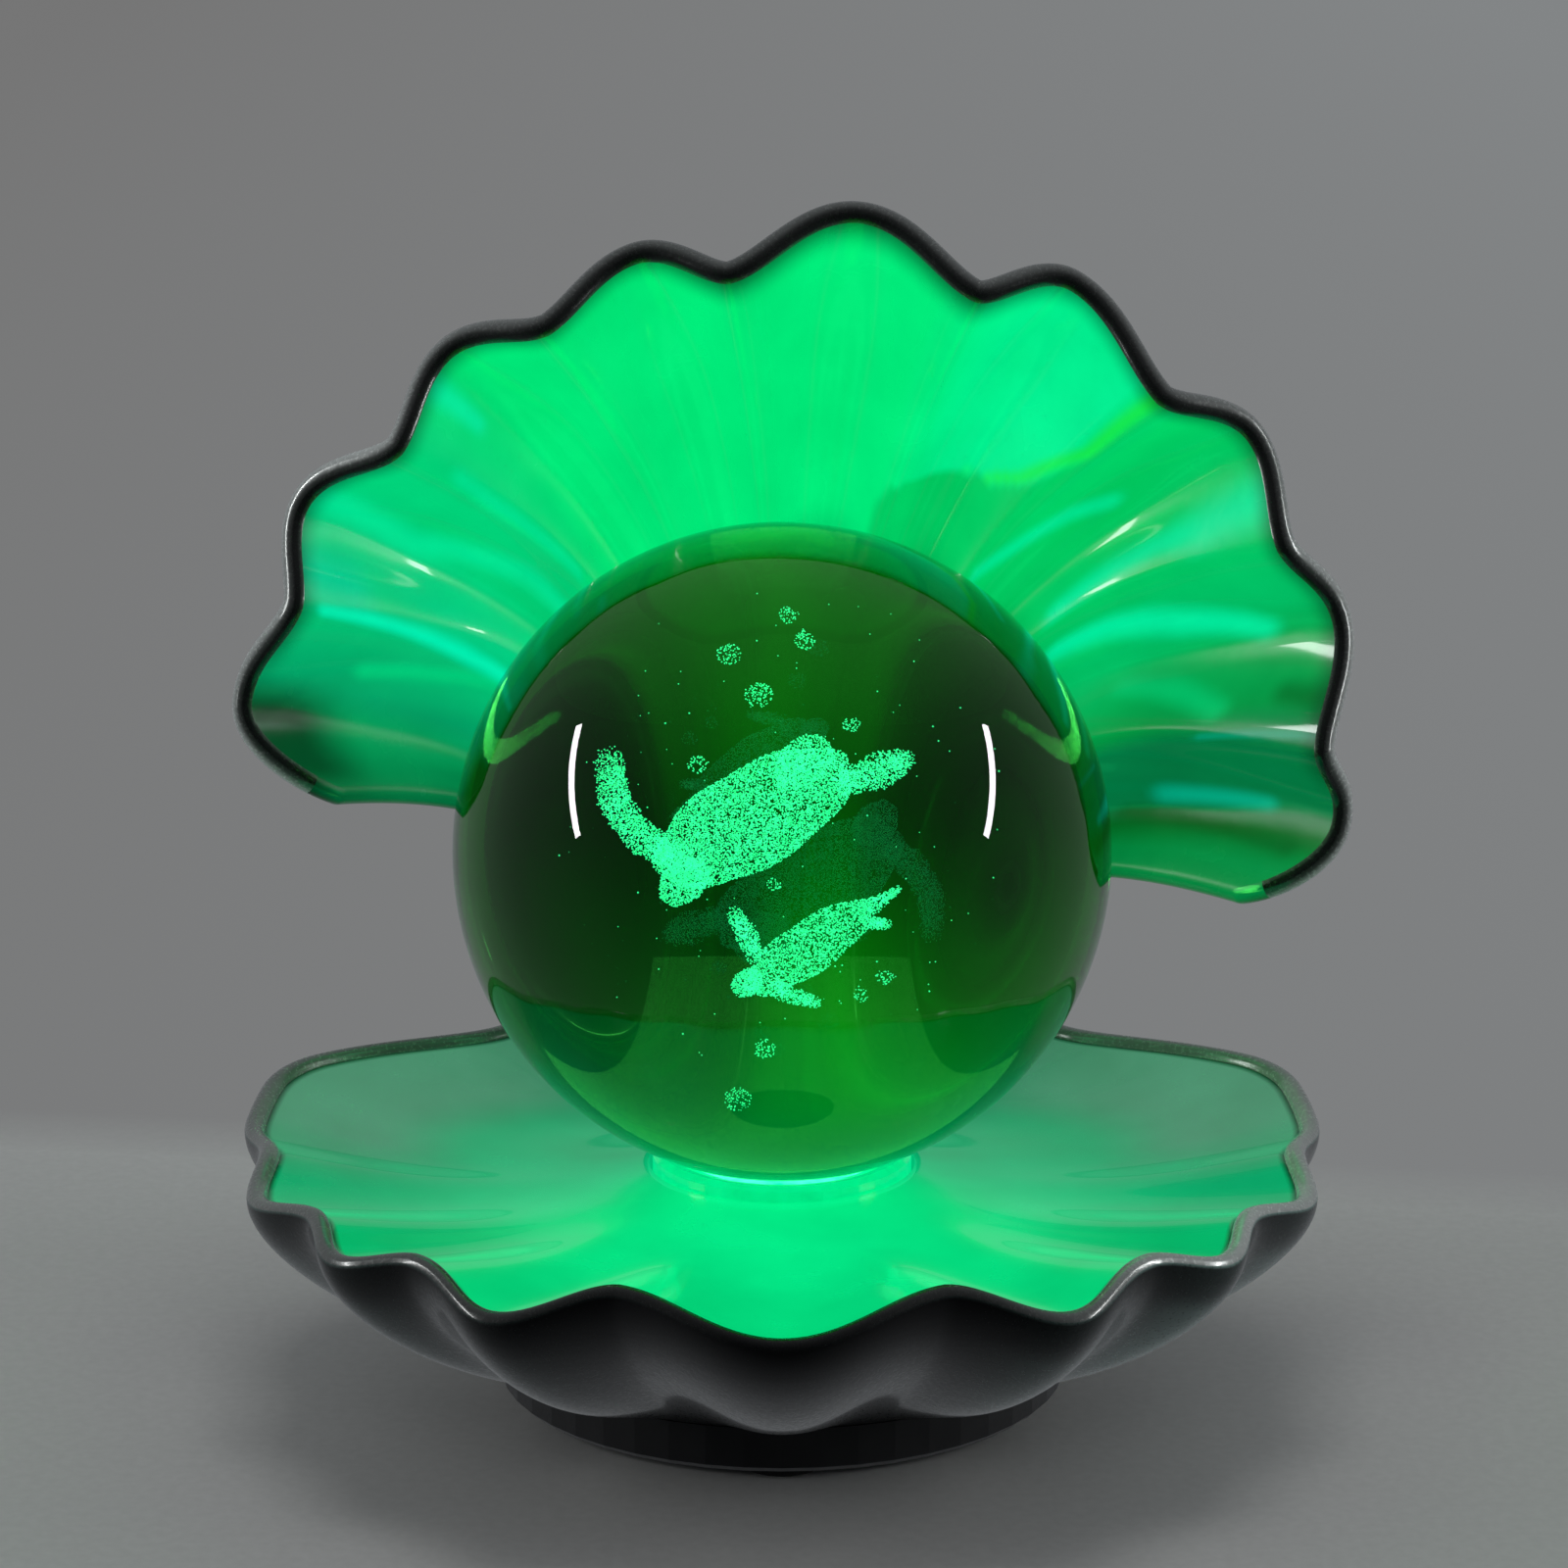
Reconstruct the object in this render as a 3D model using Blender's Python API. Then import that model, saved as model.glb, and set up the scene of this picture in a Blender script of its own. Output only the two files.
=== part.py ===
"""Scallop-shell night light.

Two nine-lobed resin valves stand open around a loose glass ball. The lower valve is a casting with a round
chamber under the ball. The chamber holds the lamp board, and a black foot below it holds three button cells
and a slide switch. The upper valve stands on a narrow neck behind the ball.

Frame: metres, +Z up, +X to the viewer's right, +Y towards the back. The origin is the bottom centre of the
whole object's box. The lamp and the ball share one upright axis, a few millimetres from the origin.
"""
import math

import bmesh
import bpy
from mathutils import Vector

MM = 0.001
GAP = 0.3 * MM                      # between neighbouring solids

# Whole object
AXIS_X = -1.05 * MM                 # place of the lamp axis from the origin
AXIS_Y = 6.45 * MM
BALL_RADIUS = 30.0 * MM
BALL_CENTRE_Z = 50.8 * MM

WALL = 2.3 * MM                     # thickness of both valves at the rim

# Lower valve
FOOT_TOP_Z = 5.3 * MM
FOOT_EDGE_RADIUS = 26.8 * MM
LOWER_RADIUS = 49.2 * MM            # mean radius of the rim at the front and sides
LOWER_BACK_RADIUS = 38.5 * MM
LOWER_NOTCHES = (17.3, 42.0, 60.5, 83.5)    # degrees either side of the middle lobe
LOWER_EAR_PEAK = 95.0
LOWER_LOBE = 1.9 * MM               # how far each lobe stands out in plan
LOWER_DROP = 1.3 * MM               # and how far it dips
RIM_Z = 22.8 * MM
EAR_RISE = 2.6 * MM
SEAT_Z = 21.2 * MM                  # the dish's floor at the seat
SEAT_POCKET_RADIUS = 12.3 * MM
CHAMBER_RADIUS = 18.8 * MM
CHAMBER_TOP_Z = 15.6 * MM
BOARD_POCKET_RADIUS = 11.4 * MM
BOARD_POCKET_Z = 17.2 * MM
LIGHT_WELL_RADIUS = 7.6 * MM

# Light parts, from the ball down
SEAT_RING_RADII = (9.2 * MM, 12.0 * MM)     # inner and outer
SEAT_LEDGE_Z = 19.2 * MM            # the casting's ledge under the seat ring
WINDOW_RADIUS = 9.0 * MM
WINDOW_THICKNESS = 0.9 * MM
WINDOW_LEDGE_Z = 17.9 * MM          # the casting's ledge under the window
LAMP_WIDTH = 5.0 * MM
LAMP_LOW_Z = 17.0 * MM
BOARD_RADIUS = 11.0 * MM
BOARD_TOP_Z = 16.7 * MM
BOARD_THICKNESS = 0.9 * MM
BOARD_SCREW_XS = (-9.2 * MM, 9.2 * MM)
BOARD_SCREW_RADIUS = 0.6 * MM
BOARD_SCREW_TIP_Z = 18.4 * MM

# Upper valve
UPPER_CENTRE = (1.5 * MM, 9.0 * MM, 54.5 * MM)
UPPER_TURN = math.radians(6.3)      # clockwise, seen from the front
UPPER_LEAN = 0.176                  # the rim's plane leans back by this slope
UPPER_EAR_ANGLE = 98.5              # degrees from the middle lobe to each lower corner
UPPER_RIM = [(-98.5, 47.0), (-88.0, 52.2), (-76.5, 49.4), (-67.5, 52.7), (-56.3, 48.3), (-46.0, 51.0),
             (-35.3, 47.9), (-23.9, 50.2), (-14.2, 47.0), (0.0, 51.9), (13.9, 47.8), (23.0, 52.1),
             (37.0, 48.9), (47.0, 52.8), (57.4, 50.0), (67.0, 52.6), (79.6, 48.6), (87.0, 50.8),
             (98.5, 47.0)]          # (degrees, mm) of the corners, tips and notches in turn
UPPER_DEPTH = 25.1 * MM
UPPER_FLUTE = 1.8 * MM
NECK_HALF_WIDTH = 11.6 * MM
NECK_DEPTH = 8.0 * MM
LEDGE_Z = 23.0 * MM
LEDGE_FRONT_Y = 28.2 * MM
DOWEL_XS = (-6.0 * MM, 6.0 * MM)
DOWEL_Y = 32.6 * MM
DOWEL_HALF_LENGTH = 7.0 * MM

# Foot
FOOT_RADIUS = 26.3 * MM
PAD_THICKNESS = 0.8 * MM
FOOT_FLOOR_Z = 3.2 * MM             # inside floor of the foot
FOOT_INNER_RADIUS = 24.5 * MM
FIXING_RADIUS = 21.5 * MM           # pads and screws stand on this circle
PAD_ANGLES = [math.radians(a) for a in (-90, 30, 150)]
SCREW_ANGLES = [math.radians(a) for a in (90, -30, -150)]
SCREW_SHANK_RADIUS = 1.0 * MM
SCREW_HEAD_RADIUS = 2.1 * MM
SCREW_TIP_Z = 10.0 * MM
HOLE_RADIUS = SCREW_SHANK_RADIUS + GAP

# Cells and their door
CELL_RADIUS = 5.8 * MM
CELL_LENGTH = 5.4 * MM
CELL_COUNT = 3
CELL_SPACING = CELL_LENGTH + 0.2 * MM
CONTACT_THICKNESS = 0.3 * MM
STACK_Y = -3.0 * MM
DOOR_SIZE = (23.4 * MM, 16.4 * MM)
DOOR_THICKNESS = 1.1 * MM
BAY_SIZE = (20.6 * MM, 12.6 * MM)   # clear opening over the cells
DOOR_TAB_Y = -13.8 * MM             # centre of the round end of the screw tab
DOOR_TAB_RADIUS = 3.4 * MM

# Switch
SWITCH_Y = 13.6 * MM
SWITCH_TRAVEL = 2.0 * MM
SWITCH_REST_X = -SWITCH_TRAVEL / 2
SWITCH_TOP_Z = 7.4 * MM
LEAD_RADIUS = 0.4 * MM


def smooth_step(value, start, end):
    """0 before start, 1 after end, with a smooth ramp between."""
    t = min(max((value - start) / (end - start), 0.0), 1.0)
    return t * t * (3.0 - 2.0 * t)


def crest_to_notch(t):
    """Ease from 0 at a lobe's crest to 1 at a notch, a little sharper at the notch."""
    return 0.65 * 0.5 * (1.0 - math.cos(math.pi * t)) + 0.35 * (1.0 - math.cos(0.5 * math.pi * t))


def follow_knots(knots, angle):
    """Value at an angle, from knots of (angle, value) that alternate between crest and notch."""
    for (a0, v0), (a1, v1) in zip(knots, knots[1:]):
        if angle <= a1:
            t = (angle - a0) / (a1 - a0)
            if v0 >= v1:
                return v0 + (v1 - v0) * crest_to_notch(t)
            return v1 + (v0 - v1) * crest_to_notch(1.0 - t)
    return knots[-1][1]


# ---------------------------------------------------------------- scene helpers

def clear_scene():
    for obj in list(bpy.data.objects):
        bpy.data.objects.remove(obj, do_unlink=True)


def make_material(name, colour, roughness, metallic=0.0):
    material = bpy.data.materials.new(name)
    material.use_nodes = True
    shader = material.node_tree.nodes["Principled BSDF"]
    shader.inputs["Base Color"].default_value = (*colour, 1.0)
    shader.inputs["Roughness"].default_value = roughness
    shader.inputs["Metallic"].default_value = metallic
    return material


def place(name, data, material, location=(0.0, 0.0, 0.0)):
    """Link a new object under the lamp axis. location is measured from that axis."""
    obj = bpy.data.objects.new(name, data)
    bpy.context.scene.collection.objects.link(obj)
    obj.parent = LAMP_AXIS
    obj.location = location
    if material is not None:
        data.materials.append(material)
    return obj


def to_mesh(name, bm, smooth_angle=math.radians(35)):
    bmesh.ops.recalc_face_normals(bm, faces=bm.faces)
    mesh = bpy.data.meshes.new(name)
    bm.to_mesh(mesh)
    bm.free()
    mesh.shade_smooth()
    mesh.set_sharp_from_angle(angle=smooth_angle)
    return mesh


def add_turned(bm, profile, segments=32, centre=(0.0, 0.0, 0.0), axis="Z"):
    """Turn a profile of (radius, height) points about an axis.

    A profile that starts and ends at radius 0 makes a solid; any other profile is closed into a ring.
    A flat end becomes one many-sided face, and a pointed end a fan.
    """
    closed = profile[0][0] > 0.0
    flat_low = not closed and profile[0][1] == profile[1][1]
    flat_high = not closed and profile[-1][1] == profile[-2][1]
    if flat_low:
        profile = profile[1:]
    if flat_high:
        profile = profile[:-1]
    rings = []
    for radius, height in profile:
        if radius == 0.0:
            rings.append([bm.verts.new((0.0, 0.0, height))])
            continue
        ring = []
        for i in range(segments):
            a = 2.0 * math.pi * i / segments
            ring.append(bm.verts.new((radius * math.cos(a), radius * math.sin(a), height)))
        rings.append(ring)
    pairs = list(zip(rings, rings[1:]))
    if closed:
        pairs.append((rings[-1], rings[0]))
    for low, high in pairs:
        for i in range(segments):
            j = (i + 1) % segments
            corners = [low[i % len(low)], low[j % len(low)], high[j % len(high)], high[i % len(high)]]
            unique = list(dict.fromkeys(corners))
            if len(unique) > 2:
                bm.faces.new(unique)
    if flat_low:
        bm.faces.new(rings[0][::-1])
    if flat_high:
        bm.faces.new(rings[-1])
    turn = {"Z": Vector((0, 0, 1)), "X": Vector((1, 0, 0)), "Y": Vector((0, 1, 0))}[axis]
    rotation = Vector((0, 0, 1)).rotation_difference(turn).to_matrix()
    for ring in rings:
        for v in ring:
            v.co = rotation @ v.co + Vector(centre)


def add_cylinder(bm, radius, low, high, xy=(0.0, 0.0), segments=16):
    add_turned(bm, [(0.0, low), (radius, low), (radius, high), (0.0, high)], segments, (*xy, 0.0))


def add_box(bm, low, high):
    corners = []
    for x in (low[0], high[0]):
        for y in (low[1], high[1]):
            for z in (low[2], high[2]):
                corners.append(bm.verts.new((x, y, z)))
    for face in ((0, 1, 3, 2), (4, 6, 7, 5), (0, 4, 5, 1), (2, 3, 7, 6), (0, 2, 6, 4), (1, 5, 7, 3)):
        bm.faces.new([corners[i] for i in face])


def add_prism(bm, outline, low, high):
    """An upright prism over an outline of (x, y) points that runs anticlockwise."""
    floor = [bm.verts.new((x, y, low)) for x, y in outline]
    roof = [bm.verts.new((x, y, high)) for x, y in outline]
    bm.faces.new(floor[::-1])
    bm.faces.new(roof)
    for i in range(len(outline)):
        j = (i + 1) % len(outline)
        bm.faces.new((floor[i], floor[j], roof[j], roof[i]))


def turned_part(name, profile, material, segments=32, **where):
    bm = bmesh.new()
    add_turned(bm, profile, segments, **where)
    return place(name, to_mesh(name, bm), material)


def combine(target, name, bm, operation, location=(0.0, 0.0, 0.0)):
    """Add the closed bodies in bm to target, or cut them out of it, as a live Boolean."""
    tool = place(name, to_mesh(name, bm), None, location)
    tool.hide_render = True
    tool.display_type = "WIRE"
    modifier = target.modifiers.new(name, "BOOLEAN")
    modifier.operation = operation
    modifier.solver = "EXACT"
    modifier.object = tool


def cut(target, name, bm):
    combine(target, name, bm, "DIFFERENCE")


def join(target, name, bm, location=(0.0, 0.0, 0.0)):
    combine(target, name, bm, "UNION", location)


def bevel(obj, width, segments=2):
    modifier = obj.modifiers.new("soft edges", "BEVEL")
    modifier.width = width
    modifier.segments = segments
    modifier.limit_method = "ANGLE"
    modifier.angle_limit = math.radians(40)


def wire_part(name, points, radius, material):
    """A round wire through points, on a smooth curve sampled into a poly spline."""
    curve = bpy.data.curves.new(name, "CURVE")
    curve.dimensions = "3D"
    curve.bevel_depth = radius
    curve.bevel_resolution = 2
    curve.use_fill_caps = True
    spline = curve.splines.new("POLY")
    spline.points.add(len(points) - 1)
    for slot, point in zip(spline.points, points):
        slot.co = (*point, 1.0)
    return place(name, curve, material)


def smooth_route(points, steps=5):
    """Catmull-Rom samples through points."""
    vectors = [Vector(p) for p in points]
    padded = [2 * vectors[0] - vectors[1], *vectors, 2 * vectors[-1] - vectors[-2]]
    route = []
    for p0, p1, p2, p3 in zip(padded, padded[1:], padded[2:], padded[3:]):
        for i in range(steps):
            t = i / steps
            route.append(0.5 * (2 * p1 + (p2 - p0) * t + (2 * p0 - 5 * p1 + 4 * p2 - p3) * t ** 2
                                + (3 * p1 - p0 - 3 * p2 + p3) * t ** 3))
    route.append(vectors[-1])
    return route


# ---------------------------------------------------------------- valves

def lower_wave(degrees):
    """+1 along a lobe and -1 along a notch, fading out behind the two outer lobes."""
    knots = [(0.0, 1.0)]
    for first, second in zip(LOWER_NOTCHES, LOWER_NOTCHES[1:]):
        knots += [(first, -1.0), (0.5 * (first + second), 1.0)]
    knots += [(LOWER_NOTCHES[-1], -1.0), (LOWER_EAR_PEAK, 1.0)]
    return follow_knots(knots, abs(degrees)) * (1.0 - smooth_step(abs(degrees), 102, 133))


def lower_rim(degrees):
    """Radius and height of the lower valve's outer rim. 0 degrees is the front."""
    a = abs(degrees)
    wave = lower_wave(degrees)
    radius = LOWER_RADIUS + (LOWER_BACK_RADIUS - LOWER_RADIUS) * smooth_step(a, 102, 133) + LOWER_LOBE * wave
    ear = smooth_step(a, LOWER_NOTCHES[-1], 110)
    return radius, RIM_Z - LOWER_DROP * wave * (1.0 - ear) + EAR_RISE * ear


def lower_section(degrees, outside_steps=6, dish_steps=5):
    """Closed loop of (radius, height) points through the casting, at one angle round the lamp axis."""
    rim_radius, rim_z = lower_rim(degrees)
    wave = lower_wave(degrees)
    loop = []
    for i in range(outside_steps + 1):
        out = math.sin(0.5 * math.pi * i / outside_steps)
        up = 0.5 * (out + 1.0 - math.sqrt(1.0 - out * out))
        bulge = 0.5 * LOWER_DROP * wave * math.sin(math.pi * out)
        loop.append((FOOT_EDGE_RADIUS + (rim_radius - FOOT_EDGE_RADIUS) * out,
                     FOOT_TOP_Z + (rim_z - FOOT_TOP_Z) * up - bulge))
    inner_radius = rim_radius - 0.8 * WALL
    inner_z = rim_z + 0.25 * WALL
    loop.append((rim_radius - 0.3 * WALL, rim_z + 0.3 * WALL))
    for i in range(dish_steps):
        q = 1.0 - i / dish_steps
        sag = 1.7 * MM * math.sin(math.pi * q) * (1.0 - 0.35 * q)
        flute = 0.45 * LOWER_DROP * wave * math.sin(math.pi * q) * q
        loop.append((SEAT_POCKET_RADIUS + (inner_radius - SEAT_POCKET_RADIUS) * q,
                     SEAT_Z + (inner_z - SEAT_Z) * q ** 2.2 - sag - flute))
    loop.append((SEAT_POCKET_RADIUS, SEAT_Z))
    loop.append((SEAT_POCKET_RADIUS, SEAT_LEDGE_Z))
    loop.append((WINDOW_RADIUS + GAP, SEAT_LEDGE_Z))
    loop.append((WINDOW_RADIUS + GAP, WINDOW_LEDGE_Z))
    loop.append((LIGHT_WELL_RADIUS, WINDOW_LEDGE_Z))
    loop.append((LIGHT_WELL_RADIUS, BOARD_POCKET_Z))
    loop.append((BOARD_POCKET_RADIUS, BOARD_POCKET_Z))
    loop.append((BOARD_POCKET_RADIUS, CHAMBER_TOP_Z))
    loop.append((CHAMBER_RADIUS, CHAMBER_TOP_Z))
    loop.append((CHAMBER_RADIUS, FOOT_TOP_Z))
    return loop


def make_lower_valve(material, columns=82):
    bm = bmesh.new()
    rings = []
    for i in range(columns):
        degrees = 360.0 * i / columns - 180.0
        across, forward = math.sin(math.radians(degrees)), math.cos(math.radians(degrees))
        rings.append([bm.verts.new((r * across, -r * forward, z)) for r, z in lower_section(degrees)])
    for ring, following in zip(rings, rings[1:] + rings[:1]):
        for k in range(len(ring)):
            m = (k + 1) % len(ring)
            bm.faces.new((ring[k], following[k], following[m], ring[m]))
    valve = place("lower_valve", to_mesh("lower_valve", bm), material)

    step = bmesh.new()
    half = NECK_HALF_WIDTH + GAP
    add_box(step, (-half, LEDGE_FRONT_Y, LEDGE_Z), (half, LEDGE_FRONT_Y + 20 * MM, LEDGE_Z + 10 * MM))
    cut(valve, "cut_neck_step", step)

    holes = bmesh.new()
    for x in DOWEL_XS:
        add_cylinder(holes, HOLE_RADIUS, LEDGE_Z - DOWEL_HALF_LENGTH - GAP, LEDGE_Z + 1 * MM, (x, DOWEL_Y))
    for angle in SCREW_ANGLES:
        add_cylinder(holes, HOLE_RADIUS, FOOT_TOP_Z - 1 * MM, SCREW_TIP_Z + GAP,
                     on_circle(FIXING_RADIUS, angle))
    for x in BOARD_SCREW_XS:
        add_cylinder(holes, BOARD_SCREW_RADIUS + GAP, BOARD_POCKET_Z - 1 * MM, BOARD_SCREW_TIP_Z + GAP,
                     (x, 0.0), 12)
    cut(valve, "cut_lower_holes", holes)
    return valve


def on_circle(radius, angle):
    return (radius * math.cos(angle), radius * math.sin(angle))


def upper_wave(degrees):
    """+1 along a lobe and -1 along a notch of the upper valve."""
    knots = [(angle, -1.0 if i % 2 == 0 else 1.0) for i, (angle, _) in enumerate(UPPER_RIM)]
    knots[0] = (knots[0][0], 0.4)
    knots[-1] = (knots[-1][0], 0.4)
    return follow_knots(knots, degrees)


def upper_rim(degrees):
    """In-plane place (across, up) of the upper valve's rim. 0 degrees is the middle lobe."""
    radius = follow_knots(UPPER_RIM, degrees) * MM
    return radius * math.sin(math.radians(degrees)), radius * math.cos(math.radians(degrees))


def turned_in_plane(across, up):
    """X and Z of an in-plane place, after the valve's turn about its middle."""
    return (UPPER_CENTRE[0] + across * math.cos(UPPER_TURN) + up * math.sin(UPPER_TURN),
            UPPER_CENTRE[2] - across * math.sin(UPPER_TURN) + up * math.cos(UPPER_TURN))


def upper_front(side, along):
    """A point of the upper valve's inner face.

    side runs from -1 at the left edge to 1 at the right. along runs from 0 at the neck's foot to 1 at the
    rim.
    Each flute is a curve that leaves the neck upwards and bends outwards to its lobe.
    """
    degrees = side * UPPER_EAR_ANGLE
    across, up = upper_rim(degrees)
    ear_level = -8.0 * MM
    controls = [
        Vector((NECK_HALF_WIDTH * side, LEDGE_Z + GAP)),
        Vector((10.5 * MM * side, 41.0 * MM)),
        Vector(turned_in_plane(0.52 * across, ear_level + 0.62 * (up - ear_level))),
        Vector(turned_in_plane(across, up)),
    ]
    t = along
    weights = ((1 - t) ** 3, 3 * t * (1 - t) ** 2, 3 * t ** 2 * (1 - t), t ** 3)
    flat = sum((w * c for w, c in zip(weights, controls)), Vector((0.0, 0.0)))
    depth = UPPER_DEPTH * (1.0 - t ** 3)
    flute = UPPER_FLUTE * upper_wave(degrees) * (1.0 - (1.0 - t) ** 2)
    y = UPPER_CENTRE[1] + UPPER_LEAN * (flat.y - UPPER_CENTRE[2]) + depth + flute
    return Vector((flat.x, y, flat.y))


def upper_back(side, along):
    """The outer face, one wall behind the inner face. The wall thickens towards the neck's foot."""
    d = 0.01
    s0, s1 = max(side - d, -1.0), min(side + d, 1.0)
    t0, t1 = max(along - d, 0.0), min(along + d, 1.0)
    over_side = upper_front(s1, along) - upper_front(s0, along)
    over_along = upper_front(side, t1) - upper_front(side, t0)
    normal = over_along.cross(over_side).normalized()
    if normal.y < 0:
        normal.negate()
    wall = WALL + (NECK_DEPTH - WALL) * (1.0 - smooth_step(along, 0.05, 0.55))
    normal = Vector((0.0, 1.0, 0.0)).lerp(normal, smooth_step(along, 0.05, 0.5)).normalized()
    return upper_front(side, along) + wall * normal


def make_upper_valve(material, columns=72, rows=11):
    bm = bmesh.new()
    sides = [2.0 * i / columns - 1.0 for i in range(columns + 1)]
    alongs = [math.sin(0.5 * math.pi * j / rows) for j in range(rows + 1)]
    front = [[bm.verts.new(upper_front(s, t)) for t in alongs] for s in sides]
    back = [[bm.verts.new(upper_back(s, t)) for t in alongs] for s in sides]
    for i in range(columns):
        for j in range(rows):
            bm.faces.new((front[i][j], front[i + 1][j], front[i + 1][j + 1], front[i][j + 1]))
            bm.faces.new((back[i][j], back[i][j + 1], back[i + 1][j + 1], back[i + 1][j]))
        for j in (0, rows):
            bm.faces.new((front[i][j], back[i][j], back[i + 1][j], front[i + 1][j]))
    for i in (0, columns):
        for j in range(rows):
            bm.faces.new((front[i][j], front[i][j + 1], back[i][j + 1], back[i][j]))
    valve = place("upper_valve", to_mesh("upper_valve", bm), material)

    holes = bmesh.new()
    for x in DOWEL_XS:
        add_cylinder(holes, HOLE_RADIUS, LEDGE_Z - 1 * MM, LEDGE_Z + DOWEL_HALF_LENGTH + GAP, (x, DOWEL_Y))
    cut(valve, "cut_upper_holes", holes)
    return valve


def make_neck_dowels(material):
    low = LEDGE_Z - DOWEL_HALF_LENGTH
    high = LEDGE_Z + DOWEL_HALF_LENGTH
    chamfer = 0.3 * MM
    radius = SCREW_SHANK_RADIUS
    profile = [(0.0, low), (radius - chamfer, low), (radius, low + chamfer), (radius, high - chamfer),
               (radius - chamfer, high), (0.0, high)]
    for side, x in zip(("left", "right"), DOWEL_XS):
        turned_part(f"neck_dowel_{side}", profile, material, 12, centre=(x, DOWEL_Y, 0.0))


# ---------------------------------------------------------------- ball and light

def make_crystal_ball(material, segments=36, rings=18):
    profile = []
    for i in range(rings + 1):
        a = math.pi * i / rings
        radius = 0.0 if i in (0, rings) else BALL_RADIUS * math.sin(a)
        profile.append((radius, -BALL_RADIUS * math.cos(a)))
    bm = bmesh.new()
    add_turned(bm, profile, segments)
    return place("crystal_ball", to_mesh("crystal_ball", bm), material, (0.0, 0.0, BALL_CENTRE_Z))


def make_light_parts(mats):
    """Clear ring and frosted window under the ball, over the reflector, the lamp and its board."""
    ball_clearance = BALL_RADIUS + GAP
    inner, outer = SEAT_RING_RADII
    ring_low = SEAT_LEDGE_Z + GAP
    slope = [(r, BALL_CENTRE_Z - math.sqrt(ball_clearance ** 2 - r * r)) for r in (inner, 10.4 * MM)]
    turned_part("seat_ring", [(outer, ring_low), (outer, 22.1 * MM), (11.3 * MM, 22.5 * MM),
                              *reversed(slope), (inner, ring_low)], mats["clear"], 40)

    low = WINDOW_LEDGE_Z + GAP
    chamfer = 0.3 * MM
    turned_part("light_window", [(0.0, low), (WINDOW_RADIUS - chamfer, low), (WINDOW_RADIUS, low + chamfer),
                                 (WINDOW_RADIUS, low + WINDOW_THICKNESS), (0.0, low + WINDOW_THICKNESS)],
                mats["frosted"])

    cup_inner, cup_outer = 3.4 * MM, 7.2 * MM
    cup_low, cup_high = LAMP_LOW_Z, WINDOW_LEDGE_Z
    turned_part("reflector_cup", [(cup_inner, cup_low), (cup_inner + 0.8 * MM, cup_low),
                                  (cup_outer, cup_high - 0.3 * MM), (cup_outer, cup_high),
                                  (cup_outer - 0.6 * MM, cup_high), (cup_inner, cup_low + 0.3 * MM)],
                mats["white"])

    half = LAMP_WIDTH / 2
    lamp = bmesh.new()
    add_box(lamp, (-half, -half, LAMP_LOW_Z), (half, half, WINDOW_LEDGE_Z))
    bevel(place("colour_led", to_mesh("colour_led", lamp), mats["lamp"]), 0.25 * MM)


def make_board(mats):
    """Round board with the chip, three resistors and two screw heads on its underside."""
    board_low = BOARD_TOP_Z - BOARD_THICKNESS
    board = turned_part("led_board", [(0.0, board_low), (BOARD_RADIUS, board_low),
                                      (BOARD_RADIUS, BOARD_TOP_Z), (0.0, BOARD_TOP_Z)], mats["board"], 40)
    holes = bmesh.new()
    for x in BOARD_SCREW_XS:
        add_cylinder(holes, BOARD_SCREW_RADIUS + GAP, board_low - 1 * MM, BOARD_TOP_Z + 1 * MM, (x, 0.0), 12)
    cut(board, "cut_board_holes", holes)

    under = board_low - GAP
    chip = bmesh.new()
    add_box(chip, (-5.0 * MM, 4.4 * MM, under - 0.85 * MM), (0.0, 6.9 * MM, under))
    bevel(place("controller_chip", to_mesh("controller_chip", chip), mats["black"]), 0.15 * MM, 1)

    for i in range(3):
        x = (2.2 + 2.2 * i) * MM
        resistor = bmesh.new()
        add_box(resistor, (x, 4.8 * MM, under - 0.5 * MM), (x + 1.2 * MM, 6.8 * MM, under))
        place(f"board_resistor_{i + 1}", to_mesh("resistor", resistor), mats["ceramic"])
    for side, x in zip(("left", "right"), BOARD_SCREW_XS):
        screw_part(f"board_screw_{side}", (x, 0.0), under, 2 * BOARD_SCREW_RADIUS, 0.4 * MM,
                   BOARD_SCREW_RADIUS, BOARD_SCREW_TIP_Z, mats["steel"])


def screw_part(name, xy, head_top_z, head_radius, head_height, shank_radius, tip_z, material):
    """A round-headed screw that points up: the head lies below head_top_z, the shank ends at tip_z."""
    low = head_top_z - head_height
    profile = [(0.0, low + 0.35 * head_height), (0.35 * head_radius, low + 0.35 * head_height),
               (0.35 * head_radius, low), (0.8 * head_radius, low), (head_radius, low + 0.3 * head_height),
               (head_radius, head_top_z), (shank_radius, head_top_z), (shank_radius, tip_z - shank_radius),
               (0.0, tip_z)]
    turned_part(name, profile, material, 12, centre=(*xy, 0.0))


# ---------------------------------------------------------------- foot, cells and switch

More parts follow.
